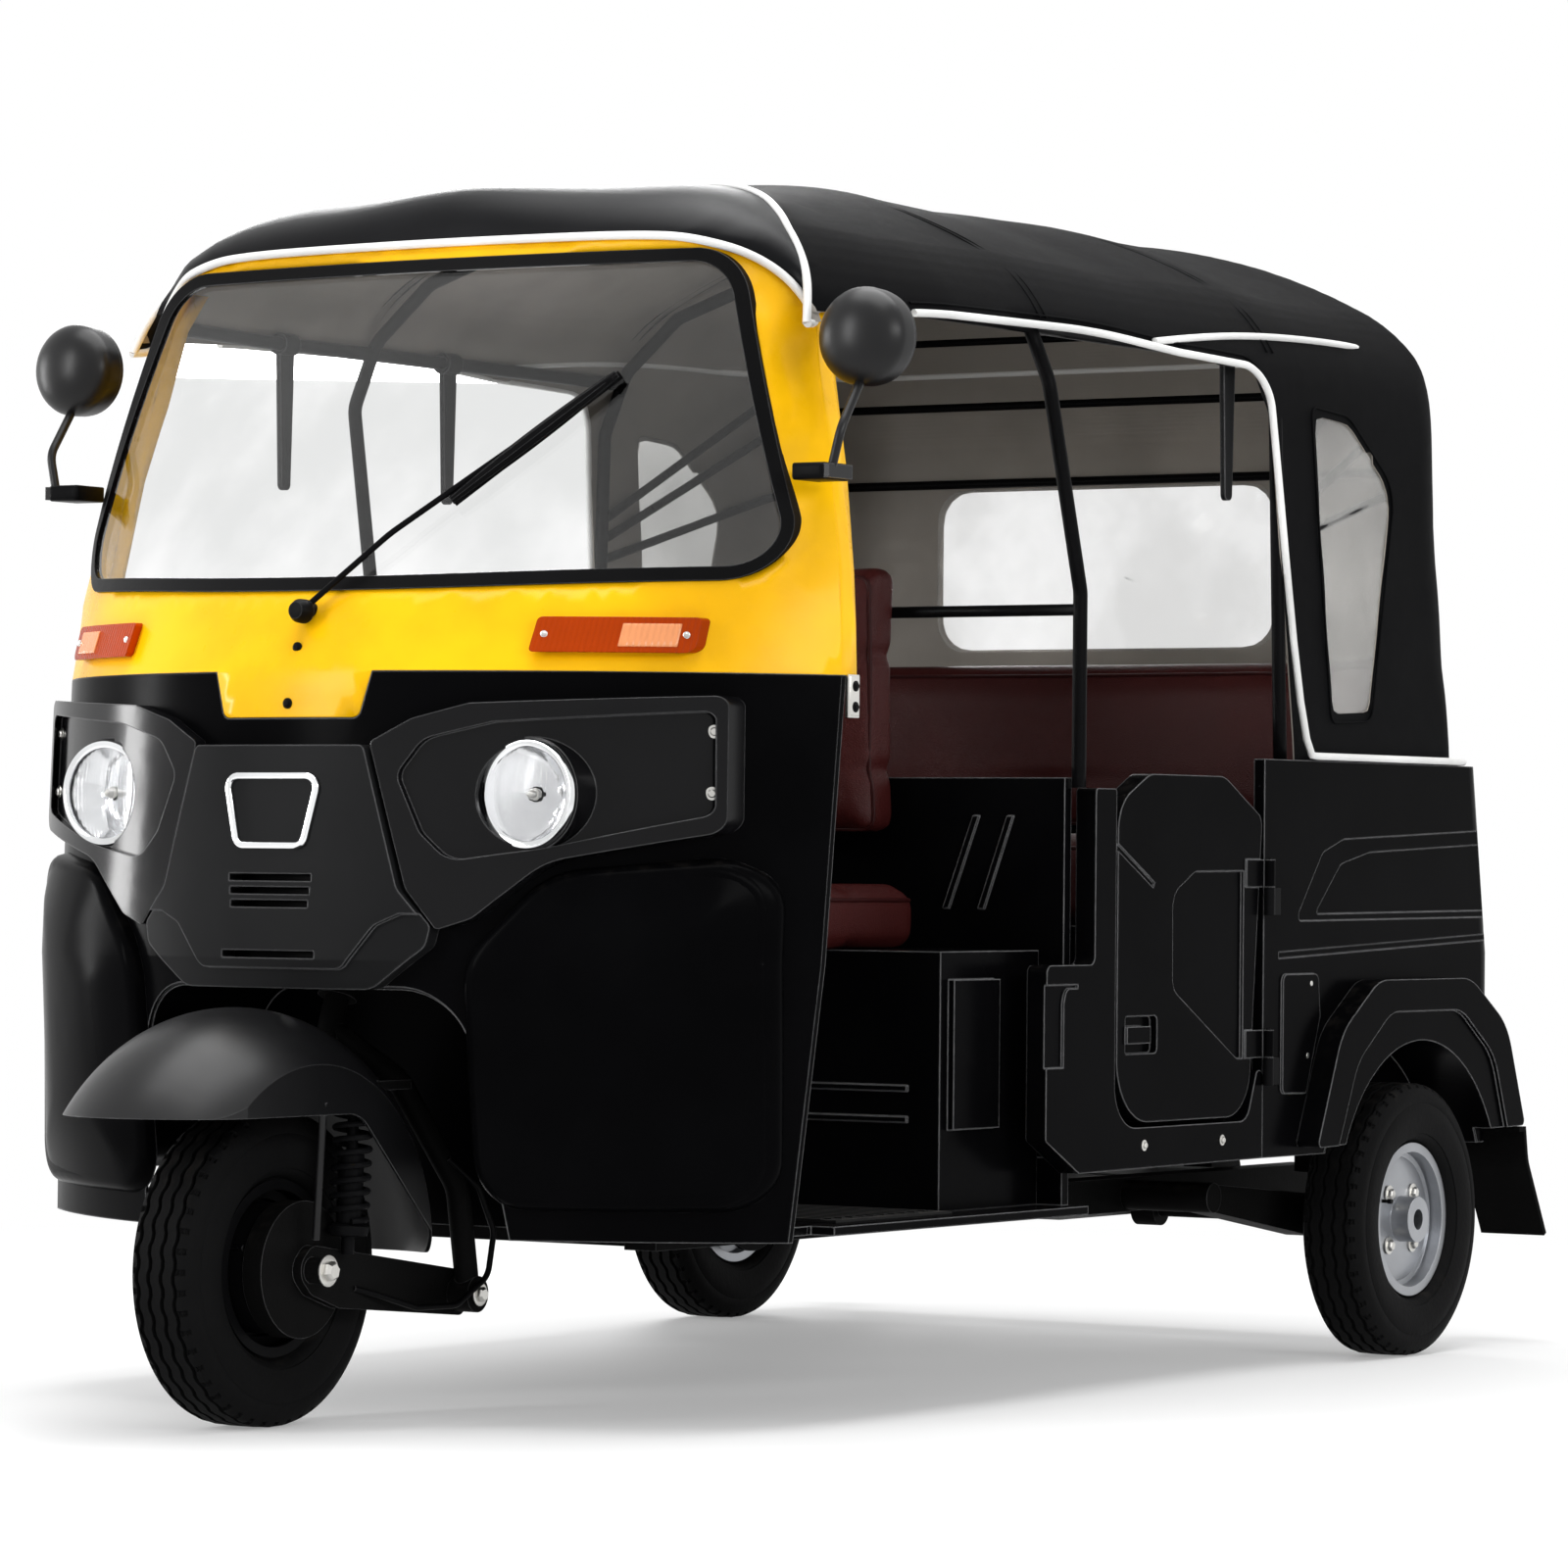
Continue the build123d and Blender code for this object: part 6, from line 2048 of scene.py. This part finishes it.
# ---- cab trim
@dataclass
class CabTrim:
    """Domed leg shields, badge ring, bolts, corner brackets and the wiper's rubber."""

    body: str = "vehicle_body"
    shield_corners: tuple[Point, ...] = ((262, 286, 60), (262, 600, 100), (360, 712, 100), (590, 738, 60),
                                         (590, 286, 60))
    shield_points: int = 120
    shield_rings: int = 22
    shield_rim: float = 3.5
    shield_step: float = 19.5
    shield_step_width: float = 13.0
    shield_dome: float = 17.0
    shield_dome_width: float = 120.0
    ring_radius: float = 0.0052
    holder_radius: float = 0.0105
    bracket: Point = (0.026, 0.006, 0.056)

    def build(self, nodes: dict[str, Piece]) -> None:
        """Make every small piece of the cab's outside.

        Args:
            nodes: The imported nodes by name.
        """
        self.badge_ring(nodes["nose_panel"])
        self.wiper_rubber()
        self.panel_bolts()
        self.corner_plates()
        for side, word in SIDES:
            self.leg_shield(side, word)

    def leg_shield(self, side: int, word: str) -> None:
        """Softly domed face over one swelling of the cowl.

        Args:
            side: 1 on the left, -1 on the right.
            word: Side of the vehicle.
        """
        edge = rounded(self.shield_corners, 8)
        closed = [Vector((*p, 0)) for p in edge + edge[:1]]
        edge = np.array([(p.x, p.y) for p in resample(closed, self.shield_points)[:-1]])
        middle = edge.mean(axis=0)
        rings = []
        for ring in range(self.shield_rings):
            scale = 1.0206 - 0.99 * (ring / self.shield_rings) ** 1.6
            places = middle + (edge - middle) * scale
            _, away = nearest_on(edge, places)
            inward = np.maximum(0.0, self.shield_rim + (away if scale < 1 else -away)) * (ring > 0)
            rings.append([self.shield_point(side, y, z, depth) for (y, z), depth in zip(places, inward)])
        piece = ringed(f"leg_shield_{word}", rings)
        face_out(piece, at(-1500, side * 430.0, 500))
        apply_modifier(piece, "SOLIDIFY", thickness=0.0015, offset=-1.0)
        settle(piece, BODY_BLACK, self.body)

    def shield_point(self, side: int, y: float, z: float, inward: float) -> Vector:
        """Place on a leg shield's dome.

        Args:
            side: 1 on the left, -1 on the right.
            y: Half width in millimetres.
            z: Height in millimetres.
            inward: Distance inside the swelling's outline in millimetres.

        Returns:
            The point in the row frame.
        """
        climb = min(inward / self.shield_step_width, 1.0)
        steep = self.shield_step * math.sqrt(max(0.0, 1 - (1 - climb) ** 2))
        soft = self.shield_dome * math.sin(math.pi / 2 * min(inward / self.shield_dome_width, 1.0)) ** 1.2
        skin, beside = front_skin(side * y, z, 0.0), front_skin(side * (y + 2.0), z, 0.0)
        across = (beside - skin).normalized()
        out = Vector((abs(across.y), -across.x * (1 if across.y > 0 else -1), 0.0))
        return skin + out * (steep + soft - 1.0) * MM

    def badge_ring(self, panel: Piece) -> None:
        """Bright ring with a blank field on the nose.

        Args:
            panel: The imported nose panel, which carries it.
        """
        corners = [(75, 836, 16), (53, 746, 14), (-53, 746, 14), (-75, 836, 16)]
        route = []
        for y, z in rounded(corners, 6):
            hit, place, _, _ = panel.ray_cast(at(400, y, z), Vector((-1, 0, 0)))
            route.append((place if hit else front_skin(y, z, 0.02)) + Vector((0.0015, 0, 0)))
        settle(tube("badge_ring", route, self.ring_radius, closed=True, smooth=False, sides=12), CHROME, self.body)

    def wiper_rubber(self) -> None:
        """Thick holder of the wiper's blade, tapered to its ends, and the cap on its pivot."""
        start, end = (168.0, 1195.0), (342.0, 1362.0)
        spots = [front_skin(start[0] + (end[0] - start[0]) * i / 8, start[1] + (end[1] - start[1]) * i / 8, 0.017)
                 for i in range(9)]
        holder = tube("wiper_holder", spots, self.holder_radius, sides=10)
        middle, half = (spots[0] + spots[-1]) / 2, (spots[-1] - spots[0]).length / 2
        along = (spots[-1] - spots[0]).normalized()
        for vertex in holder.data.vertices:
            reach = (vertex.co - middle).dot(along)
            core = spots[0] + along * (vertex.co - spots[0]).dot(along)
            vertex.co = core + (vertex.co - core) * (1.0 - 0.45 * (abs(reach) / half) ** 2)
        settle(holder, SEAL_RUBBER, self.body)
        cap = lathe("wiper_cap", [(0.0, 0.0), (0.0, 0.016), (0.012, 0.0155), (0.020, 0.011), (0.022, 0.0)],
                    front_skin(3.0, 1050.0, 0.016), Vector((1, 0, 0.05)), 28)
        settle(cap, SEAL_RUBBER, self.body)

    def panel_bolts(self) -> None:
        """Bolts of the sills, rear side panels and the surround's tab."""
        side_bolts = []
        for side in (1, -1):
            out = Vector((0, side, 0))
            for x, z in ((-1215.0, 340.0), (-1440.0, 340.0), (-1700.0, 560.0), (-1690.0, 455.0)):
                side_bolts.append((at(x, side * 622.0, z), out))
        hex_bolts("side_bolts", side_bolts, 0.010, ZINC, self.body)
        tab = [(front_skin(0, z, 0.0003), Vector((1, 0, 0.05))) for z in (930.0, 1003.0)]
        hex_bolts("tab_screws", tab, 0.009, BLACK_STEEL, self.body, domed=True)

    def corner_plates(self) -> None:
        """Bright bracket where the surround meets each front post."""
        for side, word in SIDES:
            plate = Shaper(f"corner_plate_{word}", Primitive.BOX, at(-424, side * 633.0, 945), self.bracket)
            plate.pick(lambda c, n, s=side: n.y * s > 0.9).inset(0.003, 0.0)
            plate.extrude((0, side * 0.002, 0))
            plate.bevel(0.001)
            plate.finish(ZINC, self.body)
            bolts = [(at(-424, side * 637.6, z), Vector((0, side, 0))) for z in (931.0, 958.0)]
            hex_bolts(f"corner_bolts_{word}", bolts, 0.009, BLACK_STEEL, self.body, domed=True)


@dataclass
class FrontEnd:
    """Coil spring and nuts of the steered front end."""

    body: str = "steering"
    foot: Point = (-61.0, 104.0, 252.0)
    head: Point = (-71.5, 104.0, 425.0)
    coils: int = 8
    coil_radius: float = 0.0235
    wire: float = 0.0042

    def build(self) -> None:
        """Make the spring unit and the nuts of the front axle."""
        spring = self.spring()
        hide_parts("front_shock")
        out = Vector((0, 1, 0))
        hex_bolts("front_axle_nut", [(at(0, 118, TYRE_R), out)], 0.026, ZINC, self.body)
        hex_bolts("link_pivot_nut", [(at(-318, 129, 158), out)], 0.020, ZINC, self.body)

    def spring(self) -> Piece:
        """Coil spring with its damper, cups and eyes.

        Returns:
            The joined unit.
        """
        foot, head = at(*self.foot), at(*self.head)
        axis = (head - foot).normalized()
        out = axis.orthogonal().normalized()
        side = axis.cross(out)
        length = (head - foot).length
        turns = []
        for i in range(self.coils * 12 + 1):
            share = i / (self.coils * 12)
            angle = 2 * math.pi * self.coils * share
            ring = out * math.cos(angle) + side * math.sin(angle)
            turns.append(foot + axis * (0.012 + (length - 0.03) * share) + ring * self.coil_radius)
        coil = tube("coil", turns, self.wire, sides=8)
        damper = lathe("damper", [(-0.030, 0.0), (-0.030, 0.0085), (-0.008, 0.0085), (-0.006, 0.024), (0.002, 0.027),
                                  (0.006, 0.027), (0.010, 0.0165), (0.100, 0.0165), (0.104, 0.0075),
                                  (length - 0.012, 0.0075),
                                  (length - 0.010, 0.026), (length - 0.002, 0.026), (length + 0.003, 0.010),
                                  (length + 0.005, 0.0)], foot, axis, 32)
        unit = join([damper, coil], "front_spring")
        return settle(unit, BLACK_STEEL, self.body)


@dataclass
class Cabin:
    """Floor mats, and the switches and key barrel of the driver's place."""

    body: str = "vehicle_body"

    def build(self) -> None:
        """Make the mats and the fittings on the dashboard."""
        self.mat("driver_mat", (-770.0, -480.0), 262.0, 0.58)
        self.mat("passenger_mat", (-1590.0, -1075.0), 327.0, 0.575)
        self.switches()

    def mat(self, name: str, along: tuple[float, float], height: float, half: float) -> None:
        """Ribbed rubber mat on a floor.

        Args:
            name: Name of the mat.
            along: X of its rear and front edges in millimetres.
            height: Height of the floor under it in millimetres.
            half: Half its width in metres.
        """
        rear, front = along
        middle = at((rear + front) / 2, 0, height + 2.0)
        mat = Shaper(name, Primitive.BOX, middle, ((front - rear) * MM, 2 * half, 0.0032))
        mat.pick(lambda c, n: n.z > 0.9).inset(0.012, -0.0008)
        mat.finish(FLOOR_MAT, self.body)
        ribs = []
        count = int((front - rear) / 26)
        for i in range(count):
            x = rear + 24 + i * 26
            rib = Shaper("rib", Primitive.BOX, at(x, 0, height + 3.8), (0.009, 2 * half - 0.05, 0.0018))
            ribs.append(rib.piece)
        settle(join(ribs, f"{name}_ribs"), FLOOR_MAT, self.body)

    def switches(self) -> None:
        """Row of switches and a key barrel on the dashboard's face."""
        switches = []
        for y in (-150.0, -115.0, -80.0, 80.0, 115.0):
            switch = Shaper("switch", Primitive.BOX, at(-292, y, 878), (0.006, 0.020, 0.028))
            switch.pick(lambda c, n: n.x < -0.9).inset(0.003, 0.0015)
            switch.bevel(0.0012)
            switches.append(switch.piece)
        settle(join(switches, "dash_switches"), GLOSS_PLASTIC, self.body)
        barrel = lathe("key_barrel", [(0.0, 0.0), (0.0, 0.015), (0.005, 0.015), (0.007, 0.012), (0.007, 0.003),
                                      (0.004, 0.003), (0.004, 0.0)], at(-290, 150, 878), Vector((-1, 0, 0)), 28)
        settle(barrel, CHROME, self.body)


# ---- studio
def seen_directly(tree: Tree) -> Socket:
    """Tell rays that see a surface from rays that light the object by it.

    Args:
        tree: The material's nodes.

    Returns:
        1 for camera, glossy and transmission rays, 0 for the others.
    """
    path = tree.nodes.new("ShaderNodeLightPath")
    mirrored = calculate(tree, "MAXIMUM", path.outputs["Is Camera Ray"], path.outputs["Is Glossy Ray"])
    return calculate(tree, "MAXIMUM", mirrored, path.outputs["Is Transmission Ray"])


@dataclass
class Studio:
    """White floor, soft light and the camera."""

    eye: tuple[float, float, float] = (7.5198, 4.9664, 0.7367)
    heading: float = 0.572
    pitch: float = 0.0116
    roll: float = 0.0092
    focal: float = 145.1
    fill: float = 0.42
    near_white: float = 0.28
    white_from: float = 1.5
    white_beyond: float = 3.6

    def build(self) -> None:
        """Set the floor, the world, the lamps and the camera."""
        self.floor()
        self.world()
        self.lamps()
        self.camera()
        view = bpy.context.scene.view_settings
        view.view_transform = "Standard"

    def floor(self) -> None:
        """Pale floor that still takes the shadow."""
        rest_hands()
        bpy.ops.mesh.primitive_plane_add(size=60.0, location=(0, 0, 0))
        floor = bpy.context.object
        floor.name = "studio_floor"
        material = bpy.data.materials.new("studio_floor")
        material.use_nodes = True
        tree = material.node_tree
        shader = tree.nodes["Principled BSDF"]
        shader.inputs["Base Color"].default_value = (0.88, 0.88, 0.88, 1.0)
        shader.inputs["Roughness"].default_value = 0.6
        shader.inputs["Specular IOR Level"].default_value = 0.1
        white = tree.nodes.new("ShaderNodeEmission")
        white.inputs["Color"].default_value = (1.0, 1.0, 1.0, 1.0)
        white.inputs["Strength"].default_value = 1.0
        reach = tree.nodes.new("ShaderNodeVectorMath")
        reach.operation = "LENGTH"
        tree.links.new(tree.nodes.new("ShaderNodeTexCoord").outputs["Object"], reach.inputs[0])
        away = ramp(tree, reach.outputs["Value"], self.white_from, self.white_beyond)
        share = calculate(tree, "MULTIPLY_ADD", away, 1.0 - self.near_white, self.near_white)
        amount = calculate(tree, "MULTIPLY", share, seen_directly(tree))
        blend = tree.nodes.new("ShaderNodeMixShader")
        tree.links.new(amount, blend.inputs[0])
        tree.links.new(shader.outputs[0], blend.inputs[1])
        tree.links.new(white.outputs[0], blend.inputs[2])
        tree.links.new(blend.outputs[0], tree.nodes["Material Output"].inputs["Surface"])
        floor.data.materials.append(material)

    def world(self) -> None:
        """White surroundings for what is seen, mirrored or looked through, and soft light for the rest."""
        world = bpy.data.worlds.new("studio")
        bpy.context.scene.world = world
        world.use_nodes = True
        tree = world.node_tree
        sky = tree.nodes["Background"]
        sky.inputs["Color"].default_value = (1.0, 1.0, 1.0, 1.0)
        sky.inputs["Strength"].default_value = self.fill
        seen = tree.nodes.new("ShaderNodeBackground")
        seen.inputs["Color"].default_value = (1.0, 1.0, 1.0, 1.0)
        seen.inputs["Strength"].default_value = 1.0
        switch = tree.nodes.new("ShaderNodeMixShader")
        tree.links.new(seen_directly(tree), switch.inputs[0])
        tree.links.new(sky.outputs[0], switch.inputs[1])
        tree.links.new(seen.outputs[0], switch.inputs[2])
        tree.links.new(switch.outputs[0], tree.nodes["World Output"].inputs["Surface"])

    def lamp(self, name: str, place: Point, aim: Point, size: tuple[float, float], power: float) -> None:
        """Rectangular lamp aimed at a point.

        Args:
            name: Name of the lamp.
            place: Where it hangs, in the row frame.
            aim: Point that it faces.
            size: Its width and height in metres.
            power: Its power in watts.
        """
        light = bpy.data.lights.new(name, "AREA")
        light.shape = "RECTANGLE"
        light.size, light.size_y = size
        light.energy = power
        lamp = bpy.data.objects.new(name, light)
        lamp.location = place
        lamp.rotation_euler = (Vector(aim) - Vector(place)).to_track_quat("-Z", "Y").to_euler()
        bpy.context.scene.collection.objects.link(lamp)

    def lamps(self) -> None:
        """Large soft lamps overhead, in front and at the side, as in a product studio."""
        self.lamp("overhead", (0.0, 0.3, 5.0), (0, 0, 0.8), (5.0, 4.0), 300.0)
        self.lamp("front_soft", (5.6, -2.4, 2.4), (1.0, 0, 0.9), (0.9, 3.0), 120.0)
        self.lamp("side_soft", (1.6, 5.6, 2.6), (0, 0.5, 0.9), (3.6, 1.2), 105.0)
        self.lamp("cross_soft", (1.8, -5.4, 1.3), (1.1, 0, 0.7), (0.7, 2.4), 90.0)
        self.lamp("far_rim", (-4.5, -3.6, 3.0), (0, 0, 1.0), (2.4, 2.4), 110.0)

    def camera(self) -> None:
        """Long lens, low, off the front left corner."""
        data = bpy.data.cameras.new("camera")
        data.lens = self.focal
        data.clip_end = 80.0
        camera = bpy.data.objects.new("camera", data)
        bpy.context.scene.collection.objects.link(camera)
        ahead = Vector((-math.cos(self.heading) * math.cos(self.pitch), -math.sin(self.heading) * math.cos(self.pitch),
                        math.sin(self.pitch)))
        across = Vector((-math.sin(self.heading), math.cos(self.heading), 0.0))
        up = across.cross(ahead)
        right = across * math.cos(self.roll) + up * math.sin(self.roll)
        top = up * math.cos(self.roll) - across * math.sin(self.roll)
        turn = Matrix((right, top, -ahead)).transposed()
        camera.matrix_world = Matrix.Translation(Vector(self.eye)) @ turn.to_4x4()
        bpy.context.scene.camera = camera


# ---- assembly
def dress_nodes(nodes: dict[str, Piece]) -> None:
    """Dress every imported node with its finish.

    Args:
        nodes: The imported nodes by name.
    """
    for name, node in nodes.items():
        finish = NODE_FINISHES[name]
        node.data.materials.clear()
        node.data.materials.append(finish.material())


def main() -> None:
    """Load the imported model, build every sub-assembly round it and set the studio."""
    logging.basicConfig(level=logging.INFO, format="%(name)s: %(message)s")
    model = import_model()
    dress_nodes(model["nodes"])
    front = at(0, 0, TYRE_R)
    hood = Hood()
    Surround(hood).build(model["nodes"]["windscreen_surround"])
    hood.build(model["nodes"]["hood_frame"])
    CabTrim().build(model["nodes"])
    parts = [
        Seats(),
        Wheel(front, "front_wheel", "front_tyre", 1, False),
        Wheel(at(-WHEELBASE, HALF_TRACK, TYRE_R), "rear_wheel_left", "rear_tyre_left", 1, True),
        Wheel(at(-WHEELBASE, -HALF_TRACK, TYRE_R), "rear_wheel_right", "rear_tyre_right", -1, True),
        Lamps(model["nodes"]["turn_indicators"]),
        Mirrors(),
        FrontEnd(),
        Cabin(),
    ]
    for part in parts:
        part.build()
        LOG.info("built %s", type(part).__name__)
    Studio().build()


if __name__ == "__main__":
    main()
